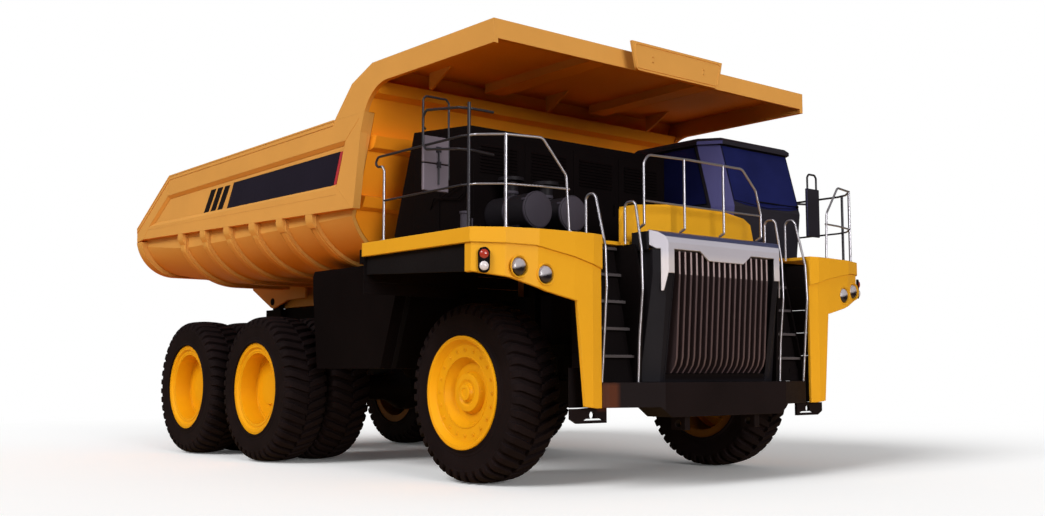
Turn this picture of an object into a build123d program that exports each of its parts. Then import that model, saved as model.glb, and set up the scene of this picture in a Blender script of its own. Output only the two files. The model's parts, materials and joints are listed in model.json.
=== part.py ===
from build123d import *
import os
from math import atan2, cos, degrees, hypot, pi, sin

# Rigid three-axle mining dump truck. Millimetres, +Z up, front of the truck at -Y, the driver's
# (left) side at +X. The origin is the centre of the bounding box's bottom, on the ground.

# ---- driving dimensions ----
HALF_LENGTH = 5291
HALF_WIDTH = 3304

# wheels
TYRE_R = 1025
TREAD_HALF = 262
BULGE_HALF = 316
BEAD_HALF = 278
BEAD_R = 590
FLANGE_R = 642
FRONT_AXLE_Y = -3360
REAR_AXLE_YS = (1138, 3416)
FRONT_TYRE_X = 2005
REAR_TYRE_X_IN = 1592
REAR_TYRE_X_OUT = 2285
KINGPIN_X = 1560
SPINDLE_R = 112
HUB_CLEARANCE = 6

# frame
RAIL_X_IN, RAIL_X_OUT = 480, 620
RAIL_TOP = 2330
FRONT_RAIL_TOP = 1600
AXLE_TUBE_R = 190
STRUT_TOP = 1440
TRUNNION_Z = TYRE_R + 515

# dump body
BODY_X = 2704
WALL = 50
LINER_X = 2600
FLOOR_Z = 2680
FLOOR_HALF = 1705
WALL_FOOT_Z = 3211
TAIL_BREAK_Y = 3600
TAIL_FLOOR_Z = 2930
TAIL_FLOOR_HALF = 1980
TAIL_FOOT_Z = 3380
WALL_LEAN = 0.335
FRONT_WALL_Y = -1430
FRONT_WALL_Z = 3270
HOOP_YS = [-500 + 810 * i for i in range(6)]
WALL_RIBS = [
    # z, height, depth
    (3290, 190, 130), (4010, 200, 130), (4640, 190, 170),
]
HINGE_Y, HINGE_Z = 4050, 2450
HINGE_EAR_R = 110
HINGE_PIN_R = 60

# hoists
HOIST_X = 900
HOIST_FOOT_Y, HOIST_FOOT_Z = -400, 1250
HOIST_HEAD_Y, HOIST_HEAD_Z = 1480, 2320
HOIST_PIN_R = 45
HOIST_PIN_HALF = 83
HOIST_EYE_R = 85
BARREL_R = 115
ROD_R = 70

# deck and front end
DECK_TOP = 2701
DECK_REAR_Y = -2780
DECK_PLATE_LOW = 2661
DECK_BAND_Z = 2550
FENDER_T = 60
PANEL_INSET = 22
FENDER_LAMPS = [(2860, -5026, 2307), (2563, -5088, 2241)]
LAMP_R = 95
RAIL_X = 3250
RAIL_TOP_Z, RAIL_MID_Z = 3657, 3150
WELL_IN_X, WELL_OUT_X = 1150, 1800
BUMPER_TOP, BUMPER_LOW = 1146, 770
VISOR_LOW = 2600
SLAT_KNEE_Z = 2330
SLAT_HALF, SLAT_COUNT = 760, 17
TOW_EYE_R = 42
TAIL_EYE_Y = 4680

# cab
CAB_X0, CAB_X1 = 1000, 2700
CAB_WALL = 60
EAVE_Z = 4180
DOOR_Y0, DOOR_Y1 = -3740, -3090
DOOR_Z0, DOOR_Z1 = 2790, 4110
DOOR_GAP = 6
DOOR_HINGE_X, DOOR_HINGE_Y = 2716, -3728


# ---- small helpers ----
def block(x0, x1, y0, y1, z0, z1):
    """Box between two corners."""
    return Pos((x0 + x1) / 2, (y0 + y1) / 2, (z0 + z1) / 2) * Box(x1 - x0, y1 - y0, z1 - z0)


def closed_face(points):
    return make_face(Polyline(*points, close=True))


def along_x(points, x0, x1):
    """Outline in (y, z), extruded from x0 to x1."""
    face = closed_face([(x0, y, z) for y, z in points])
    return extrude(face, amount=x1 - x0, dir=(1, 0, 0))


def along_y(points, y0, y1):
    """Outline in (x, z), extruded from y0 to y1."""
    face = closed_face([(x, y0, z) for x, z in points])
    return extrude(face, amount=y1 - y0, dir=(0, 1, 0))


def along_z(points, z0, z1):
    """Outline in (x, y), extruded from z0 to z1."""
    face = closed_face([(x, y, z0) for x, y in points])
    return extrude(face, amount=z1 - z0, dir=(0, 0, 1))


def rod(start, end, radius):
    """Round bar between two points."""
    axis = Vector(*end) - Vector(*start)
    return extrude(Plane(origin=start, z_dir=axis) * Circle(radius), amount=axis.length)


def turned(profile):
    """Solid of revolution about X; the profile is (x, radius) points."""
    return revolve(closed_face([(x, r, 0) for x, r in profile]), Axis.X, 360)


def mirrored(shape):
    return mirror(shape, about=Plane.YZ)


def both_sides(shape):
    """A shape and its mirror image on the other side of the truck."""
    return [shape, mirrored(shape)]


def fused(first, *others):
    result = first
    for other in others:
        result = result + other
    return result


def solids_of(shapes):
    found = []
    for shape in shapes:
        found.extend(shape.solids())
    return found


def write(name, *shapes):
    solids = solids_of(shapes)
    shape = solids[0] if len(solids) == 1 else Compound(children=solids)
    shape.label = name
    export_step(shape, f"parts/{name}.step")


def front_wall_y(z, offset=0):
    """Y of the body's front wall face at a height; offset is measured towards the load."""
    return FRONT_WALL_Y - WALL_LEAN * (z - FRONT_WALL_Z) + offset


# ---- wheels ----
def tyre():
    """Tyre centred on the origin, axis along X."""
    shoulder_r = 990
    bead_top = FLANGE_R + 13
    outline = [
        Line((-BEAD_HALF, BEAD_R), (BEAD_HALF, BEAD_R)),
        Line((BEAD_HALF, BEAD_R), (BEAD_HALF, bead_top)),
        ThreePointArc((BEAD_HALF, bead_top), (BULGE_HALF, 850), (TREAD_HALF, shoulder_r)),
        ThreePointArc((TREAD_HALF, shoulder_r), (0, TYRE_R), (-TREAD_HALF, shoulder_r)),
        ThreePointArc((-TREAD_HALF, shoulder_r), (-BULGE_HALF, 850), (-BEAD_HALF, bead_top)),
        Line((-BEAD_HALF, bead_top), (-BEAD_HALF, BEAD_R)),
    ]
    return revolve(make_face(outline), Axis.X, 360)


def front_rim():
    """Front wheel, outboard at +X, with a dished disc, a stud flange and a domed hub."""
    bore_r = SPINDLE_R + HUB_CLEARANCE
    profile = [
        (340, 642), (340, 600), (270, 545), (270, 400), (170, 330), (170, 245), (235, 220),
        (235, 110), (275, 90), (275, 0), (215, 0), (215, bore_r), (-60, bore_r), (-60, 200),
        (120, 230), (120, 350), (220, 420), (220, 540), (-300, 540), (-300, 642), (-282, 642),
        (-282, BEAD_R), (282, BEAD_R), (282, 642),
    ]
    return turned(profile)


def rear_rims():
    """Twin rear rims on one hub drum, about the outer tyre's centre, outboard at +X."""
    inner = REAR_TYRE_X_IN - REAR_TYRE_X_OUT
    bore_r = SPINDLE_R + 40 + HUB_CLEARANCE
    profile = [
        (292, 642), (292, 580), (262, 560), (262, 500), (20, 490), (20, 240), (60, 220), (60, 0),
        (0, 0), (0, bore_r), (inner - 120, bore_r), (inner - 120, 300), (inner + 250, 300),
        (inner + 250, 530), (inner - 298, 530), (inner - 298, 642), (inner - 282, 642),
        (inner - 282, BEAD_R), (inner + 282, BEAD_R), (inner + 282, 642), (inner + 300, 642),
        (inner + 300, 560), (-300, 560), (-300, 642), (-282, 642), (-282, BEAD_R), (282, BEAD_R),
        (282, 642),
    ]
    return turned(profile)


def write_wheels():
    front = Pos(FRONT_TYRE_X, FRONT_AXLE_Y, TYRE_R)
    for side, place in (("left", lambda s: s), ("right", mirrored)):
        write(f"front_tyre_{side}", place(front * tyre()))
        write(f"front_rim_{side}", place(front * front_rim()))
        for number, axle_y in enumerate(REAR_AXLE_YS, 1):
            inner = Pos(REAR_TYRE_X_IN, axle_y, TYRE_R) * tyre()
            outer = Pos(REAR_TYRE_X_OUT, axle_y, TYRE_R)
            write(f"rear_tyres_{number}_{side}", place(inner), place(outer * tyre()))
            write(f"rear_rims_{number}_{side}", place(outer * rear_rims()))


# ---- axles, steering and suspension ----
def knuckle():
    """Steering knuckle on the left: a fork around the kingpin boss, and the wheel's spindle."""
    fork_y = 150
    top, low = TYRE_R + 240, TYRE_R - 240
    gap = 5
    fork = fused(
        block(KINGPIN_X - 90, KINGPIN_X + 190, FRONT_AXLE_Y - fork_y, FRONT_AXLE_Y + fork_y,
              TYRE_R + 180 + gap, top),
        block(KINGPIN_X - 90, KINGPIN_X + 190, FRONT_AXLE_Y - fork_y, FRONT_AXLE_Y + fork_y,
              low, TYRE_R - 180 - gap),
        block(KINGPIN_X + 130, KINGPIN_X + 190, FRONT_AXLE_Y - fork_y, FRONT_AXLE_Y + fork_y,
              low, top),
    )
    axis_end = FRONT_TYRE_X + 205
    spindle = rod((KINGPIN_X + 170, FRONT_AXLE_Y, TYRE_R), (axis_end, FRONT_AXLE_Y, TYRE_R),
                  SPINDLE_R)
    return fork + spindle


def front_axle():
    """Beam with a kingpin boss at each end, and struts up to the frame rails."""
    beam = block(-KINGPIN_X, KINGPIN_X, FRONT_AXLE_Y - 110, FRONT_AXLE_Y + 110,
                 TYRE_R - 130, TYRE_R + 130)
    bosses = [
        rod((x, FRONT_AXLE_Y, TYRE_R - 180), (x, FRONT_AXLE_Y, TYRE_R + 180), 95)
        for x in (-KINGPIN_X, KINGPIN_X)
    ]
    struts = [
        rod((x, FRONT_AXLE_Y, TYRE_R), (x, FRONT_AXLE_Y, STRUT_TOP), 105) for x in (-760, 760)
    ]
    return fused(beam, *bosses, *struts)


def rear_axle(axle_y):
    """Driven axle housing in one turned form, with a flat pad for each equaliser beam."""
    tube_end = REAR_TYRE_X_IN - 360
    spindle_end = REAR_TYRE_X_OUT - 10
    spindle_r = SPINDLE_R + 40
    half = [
        (0, 340), (150, 330), (290, 240), (420, AXLE_TUBE_R), (tube_end, AXLE_TUBE_R),
        (tube_end, spindle_r), (spindle_end, spindle_r),
    ]
    profile = half + [(spindle_end, 0), (-spindle_end, 0)] + [(-x, r) for x, r in half[:0:-1]]
    pads = [block(x - 90, x + 90, axle_y - 120, axle_y + 120, TYRE_R + 100, TYRE_R + 215)
            for x in (-980, 980)]
    return fused(Pos(0, axle_y, TYRE_R) * turned(profile), *pads)


def rear_suspension():
    """Equaliser beam on each side, sitting on the axle pads and turning on a cross shaft."""
    y1, y2 = REAR_AXLE_YS
    middle = (y1 + y2) / 2
    foot = TYRE_R + 215
    outline = [
        (y1 - 170, foot), (y2 + 170, foot), (y2 + 170, foot + 110), (middle + 260, foot + 300),
        (middle - 260, foot + 300), (y1 - 170, foot + 110),
    ]
    beams = both_sides(along_x(outline, 910, 1050))
    saddles = both_sides(block(760, 1050, middle - 110, middle + 110, foot + 120, foot + 300))
    shaft = rod((-1100, middle, foot + 150), (1100, middle, foot + 150), 80)
    return fused(shaft, *beams, *saddles)


def drive_shafts():
    """Shafts from the drive line to the first rear axle and on to the second."""
    first, second = REAR_AXLE_YS
    front = rod((0, -2736, 1640), (0, first - 352, 1045), 65)
    rear = rod((0, first + 341, TYRE_R), (0, second - 341, TYRE_R), 55)
    return [front, rear]


# ---- frame ----
def frame_side():
    """Left box rail with its hoist foot, hinge ear and pin, trunnion seat and strut tower."""
    outline = [
        (-4880, 1180), (-4880, FRONT_RAIL_TOP), (-2450, FRONT_RAIL_TOP), (-1850, RAIL_TOP),
        (4600, RAIL_TOP),
        (4600, 1900), (4300, 1620), (-1500, 1600), (-2300, 1180),
    ]
    rail = along_x(outline, RAIL_X_IN, RAIL_X_OUT)
    foot = fused(
        block(RAIL_X_OUT - 10, HOIST_X - 120, -560, -240, 1610, 1760),
        block(HOIST_X - 170, HOIST_X - 125, -560, -240, 1150, 1760),
    )
    ear = fused(
        block(RAIL_X_OUT - 10, 720, HINGE_Y - 150, HINGE_Y + 150, 1900, RAIL_TOP - 10),
        block(640, 720, HINGE_Y - 120, HINGE_Y + 120, RAIL_TOP - 20, HINGE_Z + 110),
    )
    pin = rod((RAIL_X_IN - 10, HINGE_Y, HINGE_Z), (800, HINGE_Y, HINGE_Z), HINGE_PIN_R)
    foot_pin = rod((HOIST_X - 140, HOIST_FOOT_Y, HOIST_FOOT_Z),
                   (HOIST_X + 50, HOIST_FOOT_Y, HOIST_FOOT_Z), HOIST_PIN_R)
    trunnion = block(RAIL_X_OUT - 10, 880, 2157, 2397, TRUNNION_Z, 1900)
    tower = block(RAIL_X_OUT - 10, 880, FRONT_AXLE_Y - 120, FRONT_AXLE_Y + 120, STRUT_TOP, 1590)
    return fused(rail, foot, ear, pin, foot_pin, trunnion, tower)


def crossmembers():
    """Round tubes between the rails, and the tail plate with its towing eye."""
    tubes = [
        # y, z, radius
        (-4780, 1370, 90), (-2450, 1400, 120), (-400, 1850, 110),
        (2277, 1900, 110), (4420, 1980, 120),
    ]
    bars = [rod((-RAIL_X_IN, y, z), (RAIL_X_IN, y, z), r) for y, z, r in tubes]
    tail = block(-RAIL_X_IN, RAIL_X_IN, 4560, 4600, 1900, RAIL_TOP)
    eye = block(-110, 110, 4590, 4760, 1930, 2030)
    eye = eye - rod((0, TAIL_EYE_Y, 1900), (0, TAIL_EYE_Y, 2100), TOW_EYE_R)
    return [tail + eye, *bars]


# ---- dump body ----
def bowl_face(y, half, z, wall_x, foot_z, top):
    """Face across the body: flat floor, an arc that leaves it level, and upright walls."""
    wide, high = wall_x - half, foot_z - z
    radius = (wide * wide + high * high) / (2 * high)
    turn = (atan2(high - radius, wide) - pi / 2) / 2
    mid_x, mid_z = half + radius * cos(turn), z + radius + radius * sin(turn)
    return make_face([
        Line((half, y, z), (-half, y, z)),
        ThreePointArc((-half, y, z), (-mid_x, y, mid_z), (-wall_x, y, foot_z)),
        Line((-wall_x, y, foot_z), (-wall_x, y, top)),
        Line((-wall_x, y, top), (wall_x, y, top)),
        Line((wall_x, y, top), (wall_x, y, foot_z)),
        ThreePointArc((wall_x, y, foot_z), (mid_x, y, mid_z), (half, y, z)),
    ])


def u_section(y, inset, top):
    """The body's section from the front wall to the break, moved inwards."""
    return bowl_face(y, FLOOR_HALF, FLOOR_Z + inset, LINER_X - inset, WALL_FOOT_Z, top)


def trough(inset, top, start=-2600, end=HALF_LENGTH):
    """The space under the body's curved floor line, from the front wall to the duck tail."""
    run = extrude(u_section(start, inset, top), amount=TAIL_BREAK_Y - start, dir=(0, 1, 0))
    tail = loft([
        u_section(TAIL_BREAK_Y, inset, top),
        bowl_face(end, TAIL_FLOOR_HALF, TAIL_FLOOR_Z + inset, LINER_X - inset, TAIL_FOOT_Z, top),
    ], ruled=True)
    return run + tail


def bed_liner():
    """Curved floor and side sheets in one skin, with hoop ribs and a tail ring underneath."""
    top_line = [
        (front_wall_y(2300), 2300), (front_wall_y(4465), 4465), (-1124, 4465), (4010, 4410),
        (HALF_LENGTH, 3655), (HALF_LENGTH, 2300),
    ]
    skin = trough(0, 5200) - trough(WALL, 5300, end=HALF_LENGTH + 20)
    shell = skin & along_x(top_line, -LINER_X - 10, LINER_X + 10)
    return fused(shell, *hoops(HOOP_YS), tail_ring())


def side_edge_z(y):
    """Height of the side frame's lower edge."""
    return 3286 + (y + 1602) * 0.02803


def hoops(ys):
    """Ribs that follow the outside of the bowl up to the side frame's lower edge."""
    depth, width = 45, 170
    made = []
    for y in ys:
        start = y - width / 2
        face = bowl_face(start, FLOOR_HALF, FLOOR_Z - depth, LINER_X + 40, 3190,
                         side_edge_z(start) - 3)
        inner = extrude(u_section(start - 5, 20, 5000), amount=width + 10, dir=(0, 1, 0))
        made.append(extrude(face, amount=width, dir=(0, 1, 0)) - inner)
    return made


def tail_ring():
    """Wide band round the body's rear mouth, flush with the side frames."""
    start = HALF_LENGTH - 200
    face = bowl_face(start, 2050, TAIL_FLOOR_Z - 60, BODY_X, 3420, 3434)
    return extrude(face, amount=200, dir=(0, 1, 0)) - trough(20, 5000, end=HALF_LENGTH + 20)


def bed_side():
    """Left box frame of the body's side, with its long recessed panel."""
    outline = [
        (-1602, 3286), (4998, 3471), (5287, 3440), (HALF_LENGTH, 3655), (4010, 4410),
        (-1124, 4465), (-1840, 4465), (-1750, 4220),
    ]
    recess = [(-1403, 4169), (4060, 4098), (4817, 3657), (-1196, 3592)]
    frame_box = along_x(outline, LINER_X, BODY_X)
    return frame_box - along_x(recess, BODY_X - 40, BODY_X + 10)


def bed_front_wall():
    """Leaning wall inside the liner, with three box ribs and a header beam."""
    wall = trough(WALL + 6, 5000, start=-2600) & leaning_plate(2400, 4480, LINER_X)
    upper = leaning_plate(4470, 5005, BODY_X - 61)
    ribs = []
    for z, height, depth in WALL_RIBS:
        top = z + height
        rib = [(front_wall_y(z) + 5, z), (front_wall_y(z) - depth, z + 30),
               (front_wall_y(top) - depth, top - 30), (front_wall_y(top) + 5, top)]
        half = LINER_X - 60 if z < 4470 else BODY_X - 61
        ribs.append(along_x(rib, -half, half))
    return fused(wall, upper, *ribs)


def leaning_plate(low, high, half):
    """Part of the front wall between two heights."""
    return along_x([(front_wall_y(low), low), (front_wall_y(high), high),
                    (front_wall_y(high, 60), high), (front_wall_y(low, 60), low)], -half, half)


def bed_canopy():
    """Roof over the cab: plate, front fascia, side plates with curved throats, ribs."""
    edge, low = -4405, 4777
    roof = along_x([(edge, 5006), (edge, 5046), (-2005, 5046), (-2005, 5006)], -BODY_X, BODY_X)
    fascia = block(-BODY_X, BODY_X, edge, edge + 40, 4830, 5046)
    side_face = make_face([
        Polyline((BODY_X - 60, -1840, 4465), (BODY_X - 60, -1124, 4465),
                 (BODY_X - 60, -1538, 4869), (BODY_X - 60, -2005, 5046),
                 (BODY_X - 60, edge, 5046), (BODY_X - 60, edge, low), (BODY_X - 60, -2380, low)),
        ThreePointArc((BODY_X - 60, -2380, low), (BODY_X - 60, -2010, 4668),
                      (BODY_X - 60, -1840, 4465)),
    ])
    side = extrude(side_face, amount=60, dir=(1, 0, 0))
    ribs = [along_x([(-4364, 5007), (-4364, 4905), (-2176, 4885), (-2176, 5007)], x - 140, x + 140)
            for x in (-930, 930)]
    gussets = [along_x([(-2176, 5007), (-2176, 4790), (-2215, 4790), (-2640, 5007)], x - 15, x + 15)
               for x in (-1950, 0, 1950)]
    return fused(roof, fascia, *both_sides(side), *ribs, *gussets)


def name_board():
    """Bare board in front of the canopy's fascia, on two stays."""
    board = along_y([(-720, 4770), (720, 4770), (800, 5110), (-800, 5110)], -4600, -4565)
    board = fillet(board.edges().filter_by(Axis.Y).sort_by(Axis.Z)[:2], 60)
    stays = [block(x - 25, x + 25, -4566, -4405, 4900, 4950) for x in (-450, 450)]
    return fused(board, *stays)


def sign_panels():
    """Plain dark panel on the left side's recess."""
    face_x = BODY_X - 40
    outline = [(1972, 3651), (1750, 4026), (-1234, 4050), (-1066, 3612)]
    return along_x(outline, face_x, face_x + 10)


def bed_stringers():
    """Two long members under the floor, with the hinge lugs and the hoist brackets."""
    low = HINGE_Z - HINGE_EAR_R + 5
    ear = rod((RAIL_X_IN, HINGE_Y, HINGE_Z), (RAIL_X_OUT, HINGE_Y, HINGE_Z), HINGE_EAR_R)
    beam = block(RAIL_X_IN, RAIL_X_OUT, -950, HINGE_Y, low, FLOOR_Z)
    riser = along_x([(TAIL_BREAK_Y + 60, FLOOR_Z + 1), (HINGE_Y, FLOOR_Z + 1),
                     (HINGE_Y, FLOOR_Z + 150), (TAIL_BREAK_Y + 60, FLOOR_Z + 50)],
                    RAIL_X_IN, RAIL_X_OUT) - trough(0, 5000)
    bore = rod((RAIL_X_IN - 50, HINGE_Y, HINGE_Z), (850, HINGE_Y, HINGE_Z), HINGE_PIN_R + 1)
    beam = fused(beam, ear) - bore
    plate = fused(
        along_x([(2950, 2470), (3520, 2465), (HINGE_Y - 55, 2350), (HINGE_Y + 55, 2350),
                 (4790, 2690), (4790, 3000), (2950, 3000)], 745, 790),
        rod((745, HINGE_Y, HINGE_Z), (790, HINGE_Y, HINGE_Z), HINGE_EAR_R),
    ) - bore - trough(0, 5000)
    for hoop in hoops(HOOP_YS):
        beam = beam - hoop
        plate = plate - hoop
    cheeks = []
    for x in (HOIST_X - 125, HOIST_X + 90):
        cheeks.append(along_x([
            (HOIST_HEAD_Y - 80, FLOOR_Z), (HOIST_HEAD_Y + 160, FLOOR_Z),
            (HOIST_HEAD_Y + 70, HOIST_HEAD_Z - 80), (HOIST_HEAD_Y - 70, HOIST_HEAD_Z - 80),
        ], x, x + 35))
    halves = [beam, riser, plate, *cheeks]
    return [piece for half in halves for piece in both_sides(half)]


# ---- hoists ----
def hoist_parts():
    """Barrel and rod of the left hoist, between the frame foot and the body bracket."""
    reach_y, reach_z = HOIST_HEAD_Y - HOIST_FOOT_Y, HOIST_HEAD_Z - HOIST_FOOT_Z
    length = hypot(reach_y, reach_z)
    lean = degrees(atan2(reach_z, reach_y))
    place = Pos(HOIST_X, HOIST_FOOT_Y, HOIST_FOOT_Z) * Rot(lean, 0, 0)
    eye = rod((-45, 0, 0), (45, 0, 0), HOIST_EYE_R)
    barrel_end = length - 190
    tube = rod((0, 60, 0), (0, barrel_end, 0), BARREL_R)
    bore = rod((0, 260, 0), (0, barrel_end + 10, 0), ROD_R + 1)
    foot_hole = rod((-60, 0, 0), (60, 0, 0), HOIST_PIN_R + 1)
    barrel = eye + tube - bore - foot_hole
    head = rod((-45, length, 0), (45, length, 0), HOIST_EYE_R)
    pin = rod((-HOIST_PIN_HALF, length, 0), (HOIST_PIN_HALF, length, 0), HOIST_PIN_R)
    piston = rod((0, 265, 0), (0, length - 60, 0), ROD_R)
    ram = fused(piston, head, pin)
    return place * barrel, place * ram


# ---- deck and front end ----
def deck_edge(inset):
    """Plan of the left deck edge from its rear corner to the ladder well, moved inwards."""
    side, front = HALF_WIDTH - inset, -5148 + inset
    return [
        (side, DECK_REAR_Y), (side, -4780 + 0.5 * inset), (3010 - 0.4 * inset, -4990 + 0.9 * inset),
        (2660, -5100 + inset), (2200, front + 8), (1950, front), (WELL_OUT_X, -5118 + inset),
    ]


def fender_ring(outer_inset, inner_inset, low):
    """Upright wall that follows the deck edge between two insets, up to the plate."""
    back = [(WELL_OUT_X, -4700), (2000, -4000), (2000, DECK_REAR_Y)]
    far_back = [(WELL_OUT_X - 30, -4700), (WELL_OUT_X - 30, DECK_REAR_Y + 60),
                (HALF_WIDTH - inner_inset, DECK_REAR_Y + 60)]
    inside = deck_edge(inner_inset)[:-1] + [(WELL_OUT_X - 30, -5118 + inner_inset)]
    outer = along_z(deck_edge(outer_inset) + back, low, DECK_PLATE_LOW)
    return outer - along_z(inside + far_back, low - 10, DECK_PLATE_LOW)


def deck_band():
    """Deep yellow edge under the deck plate; it drops towards the ladder well in front."""
    side_keep = block(1700, HALF_WIDTH + 10, -4668, DECK_REAR_Y + 60, DECK_BAND_Z, DECK_TOP)
    front_keep = along_y([
        (HALF_WIDTH + 10, DECK_BAND_Z), (2700, 2530), (2200, 2440), (1770, 2330),
        (1770, DECK_TOP), (HALF_WIDTH + 10, DECK_TOP),
    ], -5300, -4668)
    return fender_ring(0, FENDER_T, 2000) & (side_keep + front_keep)


def fender_panel():
    """Panel under the band in front: arched over the wheel, with the column to the bumper."""
    keep = along_y([
        (HALF_WIDTH + 10, 2264), (2938, 2197), (2557, 2073), (2215, 1998), (2166, 1990),
        (2059, 900), (1885, 880), (1770, 880), (1770, DECK_TOP), (HALF_WIDTH + 10, DECK_TOP),
    ], -5300, -4668)
    panel = fender_ring(PANEL_INSET, FENDER_T, 800) & keep
    for x, y, z in FENDER_LAMPS:
        panel = panel - rod((x, y - 120, z), (x, y + 160, z), LAMP_R + 1)
    return panel


def deck():
    """Deck plate with its yellow edge, the front panels and the two ladder wells."""
    outline = deck_edge(0) + [(WELL_OUT_X, -4760), (WELL_IN_X, -4760), (WELL_IN_X, -4860),
                              (0, -4860), (0, DECK_REAR_Y)]
    plate = along_z(outline, DECK_PLATE_LOW, DECK_TOP)
    half = fused(plate, deck_band(), fender_panel())
    return half + mirrored(half)


def deck_skirt():
    """Dark strip behind and under the left deck edge."""
    outline = [(DECK_REAR_Y, 2350), (DECK_REAR_Y, DECK_PLATE_LOW - 1),
               (-4640, DECK_PLATE_LOW - 1), (-4640, 2264)]
    return along_x(outline, HALF_WIDTH - FENDER_T - 32, HALF_WIDTH - FENDER_T - 1)


def deck_supports():
    """Cross beams that carry the deck from the rails."""
    made = []
    for y in (-4540, -2560):
        beam = block(-3150, 3150, y - 70, y + 70, 2500, DECK_PLATE_LOW - 1)
        posts = both_sides(block(500, 600, y - 60, y + 60, FRONT_RAIL_TOP, 2510))
        made.append(fused(beam, *posts))
    return made


def ladder():
    """Left boarding ladder: a sloping flight of five steps between two cheeks."""
    x0, x1 = WELL_IN_X + 12, WELL_OUT_X - 12
    top, low = 2655, BUMPER_TOP + 2
    back = along_x([(-4640, top), (-4658, top), (-4948, low), (-4930, low)], x0, x1)
    cheek = [(-4640, top), (-4712, top), (-5032, low), (-4930, low)]
    wide_cheek = [(-4640, top), (-4990, top), (-5100, 2150), (-5055, low), (-4930, low)]
    cheeks = [along_x(wide_cheek, x0, x0 + 30), along_x(cheek, x1 - 30, x1)]
    steps = []
    for number in range(5):
        z = 2632 - 299 * number
        drop = top - z
        front, rear = -4712 - 0.212 * drop, -4645 - 0.192 * drop
        steps.append(block(x0, x1, front, rear, z - 28, z))
    return fused(back, *cheeks, *steps)


def bumper():
    """Black bumper with swept ends, a chamfered sill, end brackets and two tow eyes."""
    right = [(1750, -4920), (1750, -5050), (1683, -5087), (1040, -HALF_LENGTH)]
    outline = right + [(-x, y) for x, y in reversed(right)]
    body = along_z(outline, BUMPER_LOW, BUMPER_TOP)
    keep = along_y([
        (-1800, BUMPER_TOP + 10), (-1800, 880), (-1100, 880), (-940, BUMPER_LOW - 1),
        (940, BUMPER_LOW - 1), (1100, 880), (1800, 880), (1800, BUMPER_TOP + 10),
    ], -5400, -4800)
    lug = block(560, 640, -5200, -5000, 620, BUMPER_LOW + 5)
    hole = rod((500, -5100, 690), (700, -5100, 690), TOW_EYE_R)
    stays = both_sides(block(RAIL_X_IN, RAIL_X_OUT, -4921, -4881, BUMPER_LOW + 60, BUMPER_TOP))
    return fused(body & keep, *both_sides(lug - hole), *stays, *both_sides(bumper_bracket()))


def bumper_bracket():
    """Plate under the column's foot on the left, with a round hole and a lower bar."""
    plate = along_y([
        (1640, 900), (2010, 876), (2150, 876), (2150, 770), (2060, 722), (1640, 722),
    ], -5000, -4960)
    hole = rod((1850, -5100, 806), (1850, -4900, 806), 42)
    slot = along_y([(1680, 752), (1980, 752), (1940, 770), (1720, 770)], -5100, -4900)
    return plate - hole - slot


def grille_plan(z, front_y, half_front, side_y, half_width):
    """Plan of the grille housing at one height: flat front, chamfered corners."""
    right = [(half_width, -4900), (half_width, side_y), (half_front, front_y)]
    return closed_face([(x, y, z) for x, y in right + [(-x, y) for x, y in reversed(right)]])


def radiator():
    """Grille housing, flared at the foot, with a shallow bay for the slats."""
    sections = [
        # z, front y, half of the front, side y, half of the width
        (BUMPER_TOP + 1, -5100, 925, -5005, 1142),
        (SLAT_KNEE_Z, -5272, 965, -5165, 1085),
        (VISOR_LOW - 1, -5272, 965, -5165, 1085),
    ]
    housing_block = loft([grille_plan(*section) for section in sections], ruled=True)
    shoulder = along_z([(906, -4903), (1128, -5148), (1142, -5130), (1142, -4903)],
                       VISOR_LOW - 10, 2790)
    bay = along_x([(-5400, 1238), (-5040, 1238), (-5192, SLAT_KNEE_Z), (-5192, VISOR_LOW),
                   (-5400, VISOR_LOW)], -870, 870)
    return fused(housing_block - bay, *both_sides(shoulder))


def grille_slats():
    """Seventeen upright slats: upright at the top, leaning back below, hooked at the foot."""
    outline = [(-5194, 2585), (-5264, 2585), (-5266, SLAT_KNEE_Z), (-5206, 1420), (-5180, 1330),
               (-5112, 1242), (-5043, 1242), (-5194, SLAT_KNEE_Z)]
    pitch = 2 * SLAT_HALF / (SLAT_COUNT - 1)
    return [along_x(outline, -SLAT_HALF + i * pitch - 14, -SLAT_HALF + i * pitch + 14)
            for i in range(SLAT_COUNT)]


def grille_surround():
    """Silver visor over the grille: it drops at the centre and has stepped legs."""
    front = -5289
    profile = [(-4905, 2640), (-4905, 2826), (-5120, 2812), (-5215, 2785), (-5270, 2735),
               (front, 2670), (front, VISOR_LOW), (-5200, VISOR_LOW), (-5150, 2640)]
    plan = [(900, -4900), (1124, -5150), (968, front), (-968, front), (-1124, -5150),
            (-900, -4900)]
    visor = along_x(profile, -1147, 1147) & along_z(plan, 2500, 2900)
    drop = along_y([(-455, VISOR_LOW + 10), (-300, 2500), (300, 2500), (455, VISOR_LOW + 10)],
                   front, front + 20)
    leg_plan = [(872, front), (968, front), (1030, -5234), (1022, -5225), (965, -5276),
                (872, -5276)]
    step = along_y([(860, 2100), (1015, 2100), (968, 2335), (860, 2335)], -5400, -5100)
    leg = along_z(leg_plan, 2140, VISOR_LOW + 5) - step
    return fused(visor, drop, *both_sides(leg))


def cowl():
    """Yellow hood front between the grille's visor and the windscreens, bowed in plan."""
    half_plan = [(930, -4500), (1175, -4735), (450, -4852)]
    plan = half_plan + [(-x, y) for x, y in reversed(half_plan)]
    half_line = [(1200, DECK_TOP), (1190, 2850), (1110, 3075), (950, 3140), (300, 3190)]
    line = half_line + [(-x, z) for x, z in reversed(half_line)]
    return along_z(plan, DECK_TOP + 1, 3200) & along_y(line, -4900, -4400)


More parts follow.
